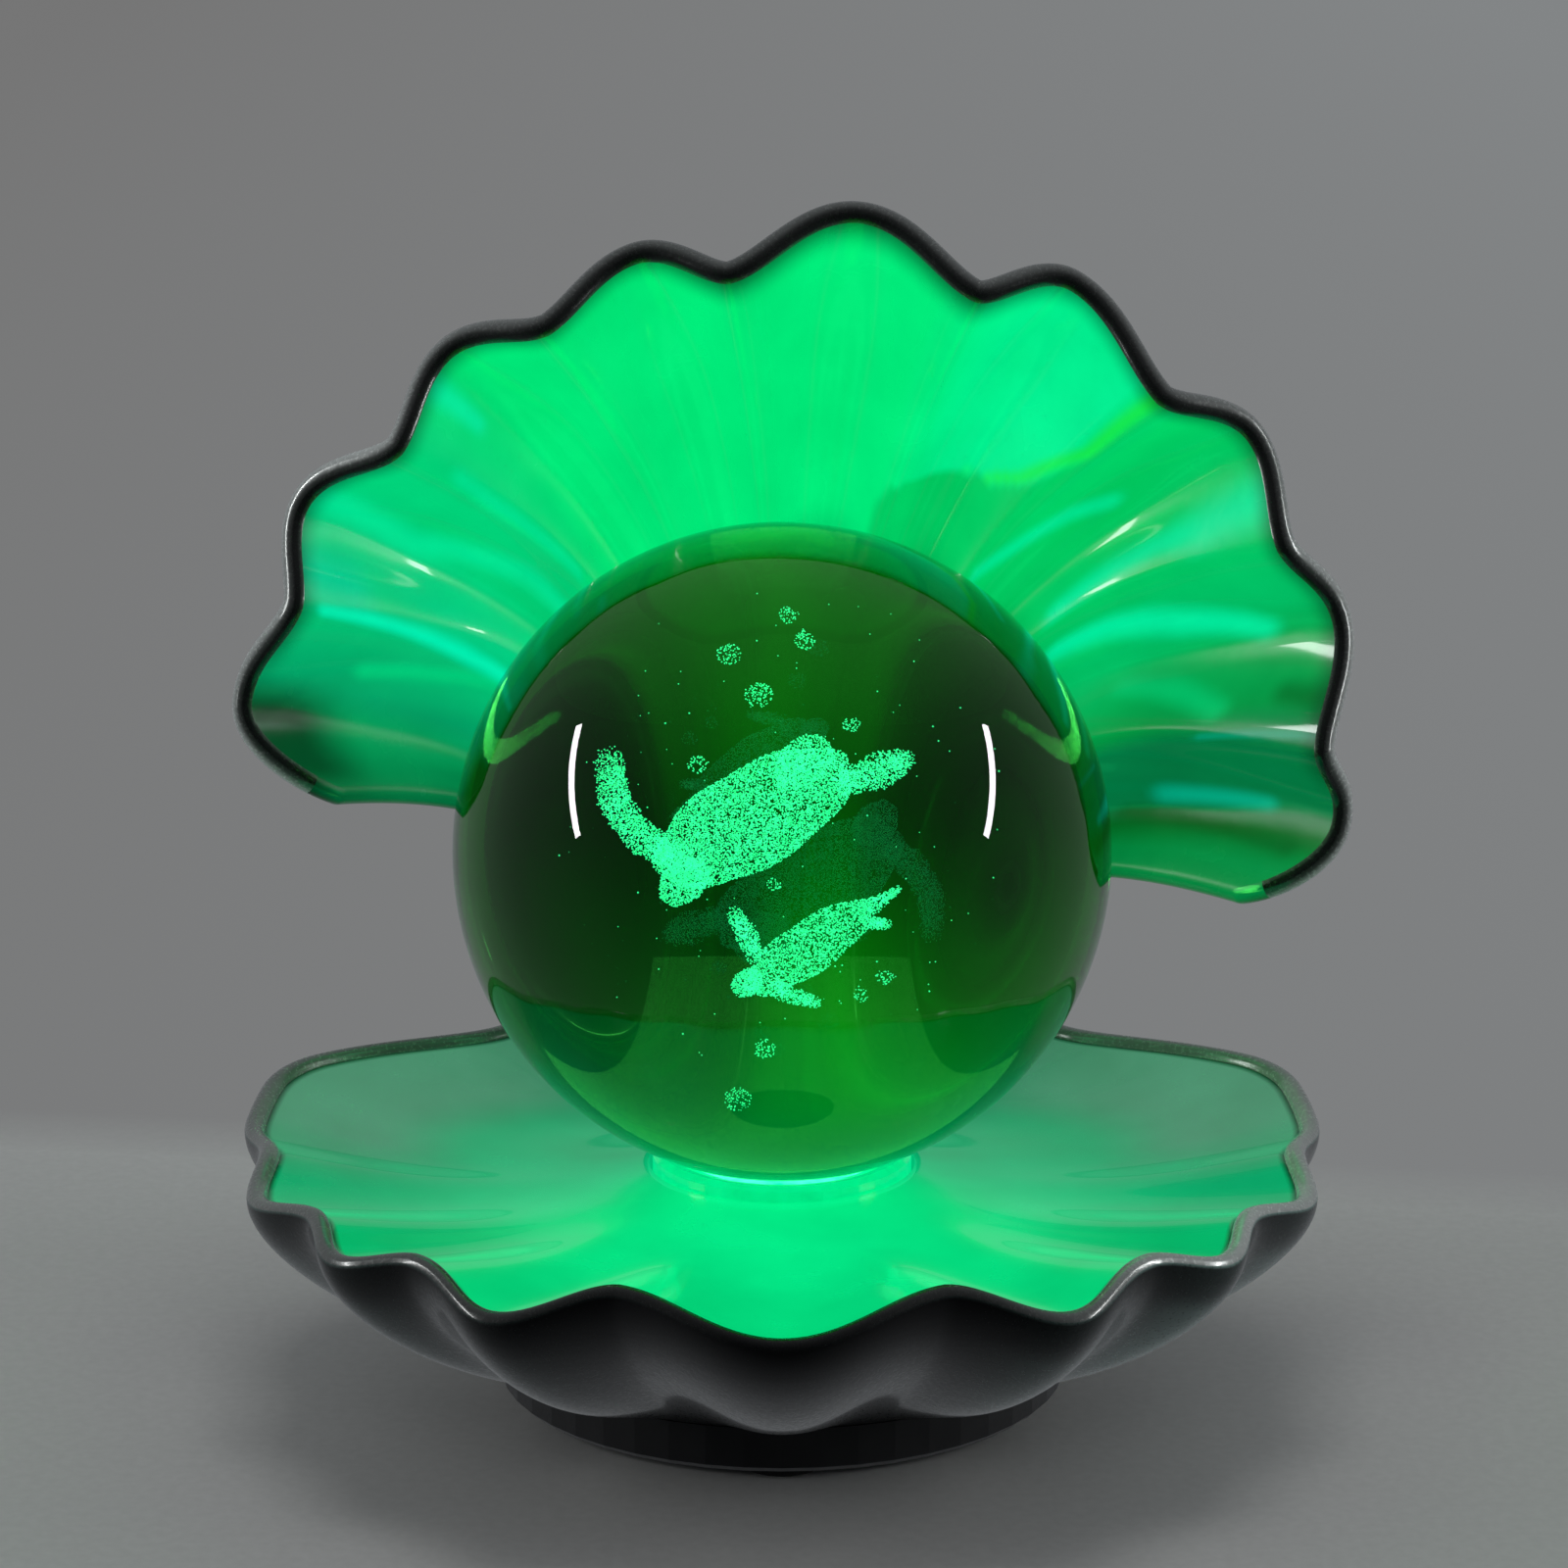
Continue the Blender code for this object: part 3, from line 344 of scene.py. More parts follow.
def pearl_coat(name, dark, light, roughness):
    """Dark glossy pearl with fine flakes, on the outside and the rim. Its tone, with painted shade and sheen,
    is stored on the mesh.
    """
    material, tree, shader = new_material(name)
    flakes = object_noise(tree, 2600.0, 2.0, 0.6)
    patches = object_noise(tree, 60.0, 4.0, 0.6)
    # The stored tone carries painted shade and sheen as well as the coat's own darkness.
    tone = tree.nodes.new("ShaderNodeVertexColor")
    tone.layer_name = "coat_tone_and_painted_light"
    tint = ramp(tree, patches.outputs["Fac"], [(0.3, dark), (0.7, light)])
    glitter = ramp(tree, flakes.outputs["Fac"], [(0.40, (0.88, 0.88, 0.88)), (0.68, (1.0, 1.0, 1.0))])
    toned = multiply(tree, tint, tone.outputs["Color"])
    tree.links.new(multiply(tree, toned, glitter), shader.inputs["Base Color"])
    tree.links.new(to_range(tree, flakes.outputs["Fac"], roughness - 0.05, roughness + 0.08, 0.35, 0.65),
                   shader.inputs["Roughness"])
    set_inputs(shader, Metallic=0.3, Coat_Weight=0.5, Coat_Roughness=0.10)
    rings = object_noise(tree, 150.0, 3.0, 0.55, (0.35, 0.35, 2.2))
    ringed = bump(tree, shader, rings.outputs["Fac"], 0.00025, 0.25)
    bump(tree, shader, flakes.outputs["Fac"], 0.00001, 0.3, before=ringed)
    return material


def optical_glass():
    """Polished solid glass with a deep green cast, and faint smears. The green cast is painted light: it
    gives the glass the lamp's green and darkens what is seen through it.
    """
    material, tree, shader = new_material("optical_glass")
    smears = object_noise(tree, 70.0, 4.0, 0.6)
    tint = ramp(tree, smears.outputs["Fac"], [(0.35, (0.05, 0.60, 0.07)), (0.65, (0.07, 0.66, 0.09))])
    tree.links.new(tint, shader.inputs["Base Color"])
    tree.links.new(to_range(tree, smears.outputs["Fac"], 0.0, 0.012, 0.45, 0.75), shader.inputs["Roughness"])
    set_inputs(shader, IOR=1.5, Transmission_Weight=1.0)
    return material


def engraving():
    """Tiny cracks inside the glass, bright with the lamp's light."""
    material, tree, shader = new_material("engraved_dots")
    grain = object_noise(tree, 900.0, 2.0, 0.5)
    light = ramp(tree, grain.outputs["Fac"], [(0.3, (0.0, 0.80, 0.72)), (0.7, (0.01, 1.0, 1.0))])
    tree.links.new(light, shader.inputs["Emission Color"])
    tree.links.new(ramp(tree, grain.outputs["Fac"], [(0.3, (0.5, 0.8, 0.6)), (0.7, (0.8, 1.0, 0.9))]),
                   shader.inputs["Base Color"])
    set_inputs(shader, Emission_Strength=1.15, Roughness=0.6)
    return material


def grained(name, dark, light, roughness, grain_scale=1400.0, grain_depth=0.00004, **inputs):
    """Moulded or turned surface: two close tones in soft patches, with fine grain in bump and roughness."""
    material, tree, shader = new_material(name)
    patches = object_noise(tree, 120.0, 3.0, 0.5)
    grain = object_noise(tree, grain_scale, 2.0, 0.6)
    tint = ramp(tree, patches.outputs["Fac"], [(0.3, dark), (0.7, light)])
    tree.links.new(tint, shader.inputs["Base Color"])
    tree.links.new(to_range(tree, grain.outputs["Fac"], roughness - 0.06, roughness + 0.08),
                   shader.inputs["Roughness"])
    bump(tree, shader, grain.outputs["Fac"], grain_depth, 0.5)
    set_inputs(shader, **inputs)
    return material


def brushed(name, dark, light, roughness, stretch):
    """Plated metal with fine drawn lines."""
    material, tree, shader = new_material(name)
    lines = object_noise(tree, 900.0, 3.0, 0.6, stretch)
    tree.links.new(ramp(tree, lines.outputs["Fac"], [(0.3, dark), (0.7, light)]), shader.inputs["Base Color"])
    tree.links.new(to_range(tree, lines.outputs["Fac"], roughness - 0.08, roughness + 0.12),
                   shader.inputs["Roughness"])
    bump(tree, shader, lines.outputs["Fac"], 0.00003, 0.4)
    set_inputs(shader, Metallic=1.0)
    return material


def glowing(name, dark, light, strength, roughness):
    """Translucent piece close over the lamp, or the lamp's own package. Its glow is emission: for the pieces
    over the lamp it is painted light.
    """
    material, tree, shader = new_material(name)
    frost = object_noise(tree, 500.0, 3.0, 0.6)
    colour = ramp(tree, frost.outputs["Fac"], [(0.3, dark), (0.7, light)])
    tree.links.new(colour, shader.inputs["Base Color"])
    tree.links.new(colour, shader.inputs["Emission Color"])
    bump(tree, shader, frost.outputs["Fac"], 0.00005, 0.4)
    set_inputs(shader, Emission_Strength=strength, Roughness=roughness, Coat_Weight=0.4)
    return material


MATS = {
    "resin": lit_resin(),
    "pearl": pearl_coat("dark_pearl", (0.24, 0.40, 0.36), (0.38, 0.56, 0.52), 0.30),
    # The rims get a lighter pearl; the tone stored on their mesh paints their sheen, brightest at the sides.
    "rim": pearl_coat("rim_pearl", (0.55, 0.60, 0.58), (0.75, 0.80, 0.78), 0.22),
    "glass": optical_glass(),
    "dots": engraving(),
    "black": grained("black_plastic", (0.008, 0.008, 0.009), (0.018, 0.018, 0.019), 0.45),
    "rubber": grained("black_rubber", (0.012, 0.012, 0.012), (0.03, 0.03, 0.03), 0.8, 900.0, 0.00008),
    "clear": glowing("clear_silicone", (0.0, 0.62, 0.24), (0.0, 0.72, 0.29), 0.62, 0.12),
    "frosted": glowing("frosted_acrylic", (0.0, 0.75, 0.22), (0.05, 1.0, 0.4), 2.2, 0.5),
    "lamp": glowing("lamp_package", (0.1, 0.9, 0.4), (0.5, 1.0, 0.8), 6.0, 0.3),
    "white": grained("white_plastic", (0.7, 0.71, 0.69), (0.85, 0.86, 0.84), 0.35),
    "board": grained("solder_mask", (0.008, 0.09, 0.035), (0.015, 0.14, 0.05), 0.35, 700.0, 0.00005),
    "ceramic": grained("resistor_ceramic", (0.03, 0.03, 0.035), (0.06, 0.06, 0.065), 0.5),
    "steel": brushed("zinc_steel", (0.42, 0.42, 0.41), (0.66, 0.66, 0.64), 0.3, (0.3, 3.0, 3.0)),
    "nickel": brushed("nickel_plate", (0.5, 0.49, 0.46), (0.74, 0.72, 0.68), 0.26, (3.0, 0.3, 3.0)),
    "red": grained("red_insulation", (0.38, 0.015, 0.01), (0.55, 0.03, 0.02), 0.4),
    "dark_wire": grained("black_insulation", (0.012, 0.012, 0.012), (0.03, 0.03, 0.03), 0.4),
    "yellow": grained("yellow_insulation", (0.5, 0.32, 0.02), (0.7, 0.48, 0.05), 0.4),
}


# ---------------------------------------------------------------- upper valve

FACE_STRETCH = 70.0         # degrees of rim angle that are as long as the whole way from the neck to the rim

# Level of the lamp's light and its blueness over the rim angle, away from the folds.
FACE_LEVELS = [
    (-98.5, 0.16, 0.30), (-94, 0.21, 0.30), (-90, 0.30, 0.30), (-86, 0.34, 0.38), (-82, 0.44, 0.36),
    (-78, 0.54, 0.34), (-70, 0.62, 0.38), (-66, 0.66, 0.34), (-62, 0.66, 0.30), (-54, 0.66, 0.30),
    (-48, 0.74, 0.26), (-45, 0.85, 0.24), (-10, 0.86, 0.235), (10, 0.88, 0.24), (20, 0.92, 0.32),
    (34, 0.95, 0.34), (37, 0.72, 0.20), (42, 0.60, 0.20), (58, 0.58, 0.24), (64, 0.53, 0.25),
    (70, 0.36, 0.20), (74, 0.29, 0.18), (78, 0.18, 0.30), (87, 0.17, 0.30), (90, 0.12, 0.10),
    (94, 0.22, 0.20), (98.5, 0.24, 0.22),
]

# Painted light and shade of the lamp along the folds: colour, strength and a path of (rim angle, along, half
# width).
FACE_STROKES = [
    # creases on the left
    ((0.0, 0.67, 0.22), 0.8, [(-82.5, 0.87, 2.0), (-79.5, 0.78, 2.2), (-75.5, 0.70, 2.2)]),
    ((0.0, 0.62, 0.33), 0.8, [(-73.0, 1.00, 4.0), (-73.0, 0.93, 4.0)]),
    ((0.0, 0.93, 0.50), 0.9, [(-76.0, 0.96, 1.2), (-75.0, 0.85, 1.8), (-74.2, 0.75, 3.0),
                              (-73.5, 0.68, 3.0)]),
    ((0.0, 0.82, 0.33), 0.8, [(-66.0, 0.98, 2.6), (-65.5, 0.86, 2.8), (-62.0, 0.80, 2.8), (-58.5, 0.74, 2.8),
                              (-57.5, 0.68, 2.4)]),
    ((0.0, 0.78, 0.30), 0.8, [(-54.8, 0.90, 2.0), (-54.3, 0.84, 2.0), (-52.5, 0.77, 1.8),
                              (-50.3, 0.69, 1.6)]),
    ((0.0, 0.82, 0.36), 0.8, [(-49.5, 1.00, 2.4), (-49.0, 0.91, 1.6)]),
    # creases on the right
    ((0.0, 0.80, 0.30), 0.9, [(43.5, 0.82, 1.8), (41.0, 0.79, 1.8), (37.0, 0.72, 1.8), (33.0, 0.66, 1.4)]),
    ((0.0, 0.80, 0.33), 0.9, [(52.5, 1.00, 4.0), (52.5, 0.90, 3.6), (51.5, 0.84, 2.0), (50.3, 0.76, 2.2),
                              (49.0, 0.68, 2.0)]),
    ((0.0, 0.88, 0.38), 0.9, [(66.5, 0.91, 2.2), (62.5, 0.83, 3.4), (60.0, 0.79, 3.4), (58.0, 0.75, 3.0),
                              (55.5, 0.67, 2.6)]),
    ((0.0, 0.54, 0.15), 0.8, [(74.0, 0.85, 2.2), (70.5, 0.79, 2.4), (67.0, 0.72, 2.0)]),
    ((0.0, 0.34, 0.20), 0.7, [(77.8, 1.00, 0.9), (77.2, 0.84, 0.9)]),
    ((0.0, 0.40, 0.24), 0.9, [(86.8, 0.91, 1.6), (85.6, 0.78, 2.6)]),
    ((0.0, 0.08, 0.004), 0.8, [(91.5, 0.95, 1.8), (90.0, 0.85, 2.0), (88.0, 0.72, 2.4)]),
    ((0.0, 0.11, 0.01), 0.8, [(74.5, 1.00, 2.6), (73.5, 0.94, 2.0)]),
]

# Painted shade and sheen on the lower valve's coat, as a grey factor over the rim angle from the left ear
# round the front to the right ear: darkest at the front, lightest at the sides.
LOWER_COAT_SHADING = [(-180, 0.16), (-100, 0.28), (-70, 0.32), (-48, 0.20), (-26, 0.05), (-4, 0.004), (8, 0.012),
              (22, 0.08), (34, 0.30), (42, 0.62), (60, 0.80), (90, 0.50), (180, 0.16)]


def near_path(degrees, along, path):
    """1 on a path over the valve's face, fading to 0 one half width away."""
    nearest = np.zeros_like(degrees)
    for (angle, start, half), (next_angle, end, next_half) in zip(path, path[1:]):
        step = (next_angle - angle, (end - start) * FACE_STRETCH)
        offset = (degrees - angle, (along - start) * FACE_STRETCH)
        t = np.clip((offset[0] * step[0] + offset[1] * step[1]) / (step[0] ** 2 + step[1] ** 2), 0.0, 1.0)
        gap = np.hypot(offset[0] - t * step[0], offset[1] - t * step[1])
        nearest = np.maximum(nearest, hump(gap, 0.0, half + (next_half - half) * t))
    return nearest


def upper_light(points, normals, side, along):
    """The lamp's light and shade, painted on the inside of the upper valve."""
    degrees = side * UPPER_EAR_ANGLE
    angles, levels, blueness = np.array(FACE_LEVELS).T
    level = np.interp(degrees, angles, levels)
    colour = level[..., None] * np.array([0.0, 1.0, 0.0])
    colour[..., 2] = level * np.interp(degrees, angles, blueness)
    # Painted shade: faces turned away from a point inside the ball are a little darker.
    ray = np.array([0.0, 2.0, 58.0]) - points
    facing = np.clip(np.sum(unit(ray) * -normals, axis=-1), 0.0, 1.0)
    colour = colour * (0.80 + 0.20 * facing)[..., None]
    # On the right the bright middle ends in a yellow-green edge that swings in towards the neck.
    edge = np.interp(along, [0.68, 0.72, 0.735, 0.78, 0.875, 1.0], [8.5, 11.0, 26.0, 31.0, 36.0, 36.5])
    beyond = ease(degrees - edge, 0.0, 2.0) * ease(-degrees, -44.0, -38.0)
    colour += beyond[..., None] * (np.array([0.0, 0.62, 0.13]) - colour)
    for tone, strength, path in FACE_STROKES:
        weight = strength * near_path(degrees, along, path)[..., None]
        colour += weight * (np.array(tone) - colour)
    line = 0.8 * hump(degrees - edge, 0.0, 1.6) * ease(along, 0.72, 0.75)
    colour += line[..., None] * (np.array([0.01, 0.86, 0.06]) - colour)
    # Painted shade: dark at the left ear's tip, in a band along the rim, and over the neck behind the ball,
    # less so at its foot.
    ear = ease(-degrees, 84.0, 89.5) * ease(along, 0.85, 0.945) * (1.0 - 0.70 * ease(-degrees, 94.5, 98.0))
    middle = 1.0 - ease(np.abs(degrees), 18.0, 26.0)
    off_ears = ease(-np.abs(degrees), -88.0, -80.0)
    fade = (0.80 + 0.10 * middle) * ease(along, 0.962 - 0.02 * middle, 1.0) * off_ears
    neck = 1.0 - ease(along, 0.54, 0.66)
    foot = 0.30 * (1.0 - ease(along, 0.10, 0.30))
    shade = (1.0 - 0.98 * ear) * (1.0 - fade) * (1.0 - (0.99 - foot) * neck)
    # Faint light that the ball gathers on the neck.
    low = 0.26 * hump(degrees, 5.0, 20.0) * hump(along, 0.215, 0.09)
    high = 0.20 * hump(degrees, -6.0, 26.0) * hump(along, 0.34, 0.10)
    return colour * shade[..., None] + (low + high)[..., None] * np.array([0.0, 1.0, 0.02])


def make_upper_shell(columns=480, rows=96, edge_steps=8):
    """Inner face, outer face one wall behind it, and a round edge along the ears and the rim."""
    inset_side, inset_along = 0.013, 0.0115
    sides = np.linspace(-1.0 + inset_side, 1.0 - inset_side, columns + 1)
    alongs = (1.0 - inset_along) * np.sin(0.5 * np.pi * np.linspace(0.0, 1.0, rows + 1))
    side, along = np.meshgrid(sides, alongs, indexing="ij")
    corner = np.clip((np.abs(side) - 0.895) / 0.105, 0.0, 0.985)
    along = along * (1.0 - EAR_ROUNDING * (1.0 - np.sqrt(1.0 - corner ** 2)))
    front = upper_front(side, along)
    normal = upper_normal(side, along)
    wall = WALL + (NECK_DEPTH - WALL) * (1.0 - ease(along, 0.05, 0.55))
    behind = np.array([0.0, 1.0, 0.0])
    blend = ease(along, 0.05, 0.5)[..., None]
    thickness = unit(behind * (1.0 - blend) + normal * blend) * wall[..., None]
    back = front + thickness
    light = upper_light(front, normal, side, along)

    count = (columns + 1) * (rows + 1)
    index = np.arange(count).reshape(columns + 1, rows + 1)
    points = [front.reshape(-1, 3), back.reshape(-1, 3)]
    lights = [light.reshape(-1, 3), np.zeros((count, 3))]
    a, b, c, d = index[:-1, :-1], index[1:, :-1], index[1:, 1:], index[:-1, 1:]
    inner = np.stack([a, b, c, d], axis=-1).reshape(-1, 4)
    outer = np.stack([a, d, c, b], axis=-1).reshape(-1, 4) + count

    # The edge runs up the left ear's side, over the rim and down the right ear's side.
    loop = np.concatenate([index[0, :], index[1:, -1], index[-1, -2::-1]])
    start, end = front.reshape(-1, 3)[loop], back.reshape(-1, 3)[loop]
    centre = 0.5 * (start + end)
    half = 0.5 * (end - start)
    tangent = unit(np.gradient(centre, axis=0))
    outward = unit(np.cross(tangent, half)) * np.linalg.norm(half, axis=-1, keepdims=True)
    middle = np.array([UPPER_CENTRE[0], 0.0, UPPER_CENTRE[2]])
    away = np.sum(outward * (centre - middle), axis=-1)
    outward = outward * np.sign(np.median(away))
    strips = [loop]
    next_index = 2 * count
    light_there = light.reshape(-1, 3)[loop]
    degrees_there = side.reshape(-1)[loop] * UPPER_EAR_ANGLE
    on_ear = np.abs(degrees_there) > 95.5
    # Painted shade and sheen on the rim: dark on its inner half, lighter over its outer top, most at the
    # sides.
    side_sheen = 0.26 + 0.74 * ease(np.abs(degrees_there), 34, 62)
    tones = [np.full((2 * count, 3), 0.16)]
    for k in range(1, edge_steps):
        turn = math.pi * k / edge_steps
        points.append(centre - math.cos(turn) * half + math.sin(turn) * outward)
        inside = light_there * (0.5 + 0.5 * math.cos(turn)) ** 1.5
        lights.append(np.where(on_ear[:, None], inside, 0.0))
        tone = 0.02 + side_sheen * ease(turn, 0.3 * math.pi, 0.6 * math.pi)
        tones.append(np.repeat(tone[:, None], 3, axis=1))
        strips.append(np.arange(next_index, next_index + len(loop)))
        next_index += len(loop)
    strips.append(loop + count)
    rim, rim_slots = [], []
    for k, (near, far) in enumerate(zip(strips, strips[1:])):
        rim.append(np.stack([near[:-1], near[1:], far[1:], far[:-1]], axis=-1))
        rim_slots.append(np.where(on_ear[:-1] & on_ear[1:] & (k < edge_steps // 2 + 1), 0, 2))
    rim = np.concatenate(rim)
    foot = np.stack([index[:-1, 0], index[:-1, 0] + count, index[1:, 0] + count, index[1:, 0]], axis=-1)
    faces = np.concatenate([inner, outer, rim, foot])

    slots = np.concatenate([np.zeros(len(inner)), np.full(len(outer), 1), *rim_slots, np.full(len(foot), 1)])
    mesh = mesh_from("upper_shell", np.concatenate(points), faces.tolist(),
                     [MATS["resin"], MATS["pearl"], MATS["rim"]], slots)
    paint(mesh, np.concatenate(lights))
    paint(mesh, np.concatenate(tones), "coat_tone_and_painted_light")
    shell = link("upper_shell", mesh, "housing")
    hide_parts("upper_valve")
    return shell


# ---------------------------------------------------------------- lower valve

# Level of the lamp's light in the dish over the angle from the front: near the ball, and near the rim.
DISH_INNER = [(0, 0.86), (40, 0.80), (60, 0.66), (80, 0.50), (100, 0.38), (120, 0.38), (135, 0.28),
              (180, 0.15)]
DISH_OUTER = [(0, 0.74), (16, 0.62), (30, 0.70), (40, 0.66), (50, 0.46), (60, 0.44), (75, 0.38), (90, 0.27),
              (100, 0.30), (120, 0.24), (135, 0.16), (180, 0.08)]


def lower_light(degrees, out):
    """The lamp's light painted in the dish of the lower valve, with painted shade and room light. out runs
    from 0 at the seat to 1 at the rim.
    """
    angle = np.abs(degrees)
    inner = np.interp(angle, *np.array(DISH_INNER).T)
    outer = np.interp(angle, *np.array(DISH_OUTER).T)
    level = inner + (outer - inner) * ease(out, 0.30, 0.85)
    # Painted shade just inside the rim at the front.
    level = level * (1.0 - 0.55 * ease(-angle, -32.0, -20.0) * ease(out, 0.93, 1.0))
    lit = level[..., None] * np.array([0.0, 1.0, 0.0])
    lit[..., 2] = level * (0.30 + 0.08 * ease(angle, 40.0, 90.0))
    # Painted room light: a pale tone over the rear sides of the dish, towards the rim.
    painted_room_light = ease(angle, 88.0, 98.0) * (1.0 - 0.6 * ease(angle, 122.0, 140.0)) * ease(out, 0.45, 0.75)
    return lit + (0.85 * painted_room_light)[..., None] * (np.array([0.075, 0.26, 0.155]) - lit)


def make_lower_shell(columns=480, outside_steps=44, lip_steps=10, dish_steps=56):
    degrees = np.linspace(-180.0, 180.0, columns, endpoint=False)
    rim_radius, rim_z = lower_rim(degrees)
    wave = lower_wave(degrees)
    lip = 0.42 * WALL
    # Painted shade and sheen on the outside: dark at the front and lighter at the sides.
    tone = np.interp(degrees, *np.array(LOWER_COAT_SHADING).T)
    dark = np.zeros((columns, 3))
    rings = []
    slots = []
    lights = []
    tones = []
    for i in range(outside_steps + 1):
        out = math.sin(0.5 * math.pi * i / outside_steps)
        up = 0.5 * (out + 1.0 - math.sqrt(1.0 - out * out))
        bulge = 0.5 * LOWER_DROP * wave * math.sin(math.pi * out)
        rings.append((FOOT_EDGE_RADIUS + (rim_radius - FOOT_EDGE_RADIUS) * out,
                      FOOT_TOP_Z + (rim_z - FOOT_TOP_Z) * up - bulge))
        slots.append(1)
        lights.append(dark)
        # Painted sheen on each lobe with shade between them, a lighter belly, and shade just below the rim.
        lobe = 0.55 + 0.55 * wave * ease(out, 0.2, 0.6)
        belly = (0.45 + 0.75 * hump(out, 0.62, 0.50)) * (1.0 - 0.7 * ease(out, 0.90, 0.97))
        tones.append(tone * lobe * belly)
    for k in range(1, lip_steps + 1):
        turn = math.pi * k / lip_steps
        rings.append((rim_radius - lip + lip * math.cos(turn), rim_z + lip * math.sin(turn)))
        slots.append(2)
        lights.append(dark)
        # The lip is painted a little lighter, as sheen.
        tones.append(np.minimum(1.2 * tone, 1.0))
    inner_radius = rim_radius - 2.0 * lip
    dish_start = len(rings)
    for i in range(1, dish_steps + 1):
        q = 1.0 - i / dish_steps
        sag = 1.7 * math.sin(math.pi * q) * (1.0 - 0.35 * q)
        flute = 0.12 * LOWER_DROP * wave * math.sin(math.pi * q) * q
        rings.append((SEAT_POCKET_RADIUS + (inner_radius - SEAT_POCKET_RADIUS) * q,
                      SEAT_Z + (rim_z - SEAT_Z) * q ** 2.2 - sag - flute))
        slots.append(0)
        lights.append(lower_light(degrees, np.full(columns, q)))
        tones.append(0.0 * tone)
    flat = np.ones(columns)
    for radius, height in ((SEAT_POCKET_RADIUS, SEAT_LEDGE_Z), (9.3, SEAT_LEDGE_Z), (9.3, 17.9), (7.6, 17.9),
                           (7.6, 17.2), (11.4, 17.2), (11.4, 15.6), (18.8, 15.6), (18.8, FOOT_TOP_Z)):
        rings.append((radius * flat, height * flat))
        slots.append(0)
        lights.append(lower_light(degrees, np.zeros(columns)) if height > 17.0 else dark)
        tones.append(0.0 * tone)
    across, forward = np.sin(np.radians(degrees)), np.cos(np.radians(degrees))
    points = np.stack([np.stack([r * across, -r * forward, z * flat], axis=-1) for r, z in rings], axis=1)
    step = (np.abs(points[..., 0]) < NECK_HALF_WIDTH + GAP) & (points[..., 1] > LEDGE_FRONT_Y)
    points[..., 2] = np.where(step, np.minimum(points[..., 2], LEDGE_Z), points[..., 2])

    loop = len(rings)
    index = np.arange(columns * loop).reshape(columns, loop)
    following = np.roll(index, -1, axis=0)
    faces = np.stack([index, following, np.roll(following, -1, axis=1), np.roll(index, -1, axis=1)], axis=-1)
    face_slots = np.tile(np.array(slots), (columns, 1))
    face_slots[:, dish_start - 1] = 0
    mesh = mesh_from("lower_shell", points.reshape(-1, 3), faces.reshape(-1, 4).tolist(),
                     [MATS["resin"], MATS["pearl"], MATS["rim"]], face_slots.reshape(-1))
    paint(mesh, np.stack(lights, axis=1).reshape(-1, 3))
    paint(mesh, np.repeat(np.stack(tones, axis=1).reshape(-1, 1), 3, axis=1), "coat_tone_and_painted_light")
    shell = link("lower_shell", mesh, "housing")
    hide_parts("lower_valve")
    return shell


# ---------------------------------------------------------------- ball and its engraving

VIEW_LEAN = math.radians(15.0)      # the engraving is square to a viewer who looks down by this angle
VIEW_AXES = np.array([[1.0, 0.0, 0.0],                                       # across
                      [0.0, math.sin(VIEW_LEAN), math.cos(VIEW_LEAN)],       # up
                      [0.0, -math.cos(VIEW_LEAN), math.sin(VIEW_LEAN)]])     # towards the viewer
GLASS_INDEX = 1.5


def make_ball(segments=288, rings=144):
    points = [(0.0, 0.0, -BALL_RADIUS)]
    for j in range(1, rings):
        polar = math.pi * j / rings
        for i in range(segments):
            turn = 2.0 * math.pi * i / segments
            points.append((BALL_RADIUS * math.sin(polar) * math.cos(turn),
                           BALL_RADIUS * math.sin(polar) * math.sin(turn), -BALL_RADIUS * math.cos(polar)))
    points.append((0.0, 0.0, BALL_RADIUS))
    last = len(points) - 1
    faces = []
    for i in range(segments):
        j = (i + 1) % segments
        faces.append((0, 1 + j, 1 + i))
        faces.append((last, last - segments + i, last - segments + j))
        for k in range(rings - 2):
            low, high = 1 + k * segments, 1 + (k + 1) * segments
            faces.append((low + i, low + j, high + j, high + i))
    mesh = mesh_from("glass_ball", np.array(points) + BALL_CENTRE, faces, [MATS["glass"]])
    ball = link("glass_ball", mesh, "ball")
    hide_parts("crystal_ball")
    ball.visible_shadow = False
    return ball


def under_glass(apparent):
    """Where marks must be in the ball's middle plane to be seen at these places through the glass."""
    far = np.linalg.norm(apparent, axis=-1, keepdims=True)
    share = np.clip(far / BALL_RADIUS, 0.0, 0.99)
    bend = np.arcsin(share) - np.arcsin(share / GLASS_INDEX)
    return apparent / GLASS_INDEX / np.cos(bend)


def scatter_oval(random, count, centre, half_length, half_width, degrees, thickness):
    """Dots spread over an oval that swells to its thickness in the middle."""
    radius = np.sqrt(random.random(count))
    turn = 2.0 * np.pi * random.random(count)
    edge = 1.0 + 0.03 * np.sin(7.0 * turn)
    u, v = radius * edge * np.cos(turn) * half_length, radius * edge * np.sin(turn) * half_width
    a = math.radians(degrees)
    flat = np.stack([centre[0] + u * math.cos(a) - v * math.sin(a),
                     centre[1] + u * math.sin(a) + v * math.cos(a)], axis=-1)
    depth = thickness * np.sqrt(1.0 - np.minimum(radius, 1.0) ** 2) * random.choice([-1.0, 1.0], count)
    return flat, depth


def scatter_limb(random, count, path, thickness):
    """Dots along a limb, whose path is a list of (x, y, half width)."""
    path = np.array(path)
    t = random.random(count) * (len(path) - 1)
    slot = np.minimum(t.astype(int), len(path) - 2)
    share = (t - slot)[:, None]
    here = path[slot] * (1 - share) + path[slot + 1] * share
    radius = np.sqrt(random.random(count)) * here[:, 2]
    turn = 2.0 * np.pi * random.random(count)
    flat = here[:, :2] + np.stack([radius * np.cos(turn), radius * np.sin(turn)], axis=-1)
    return flat, thickness * (random.random(count) - 0.5)


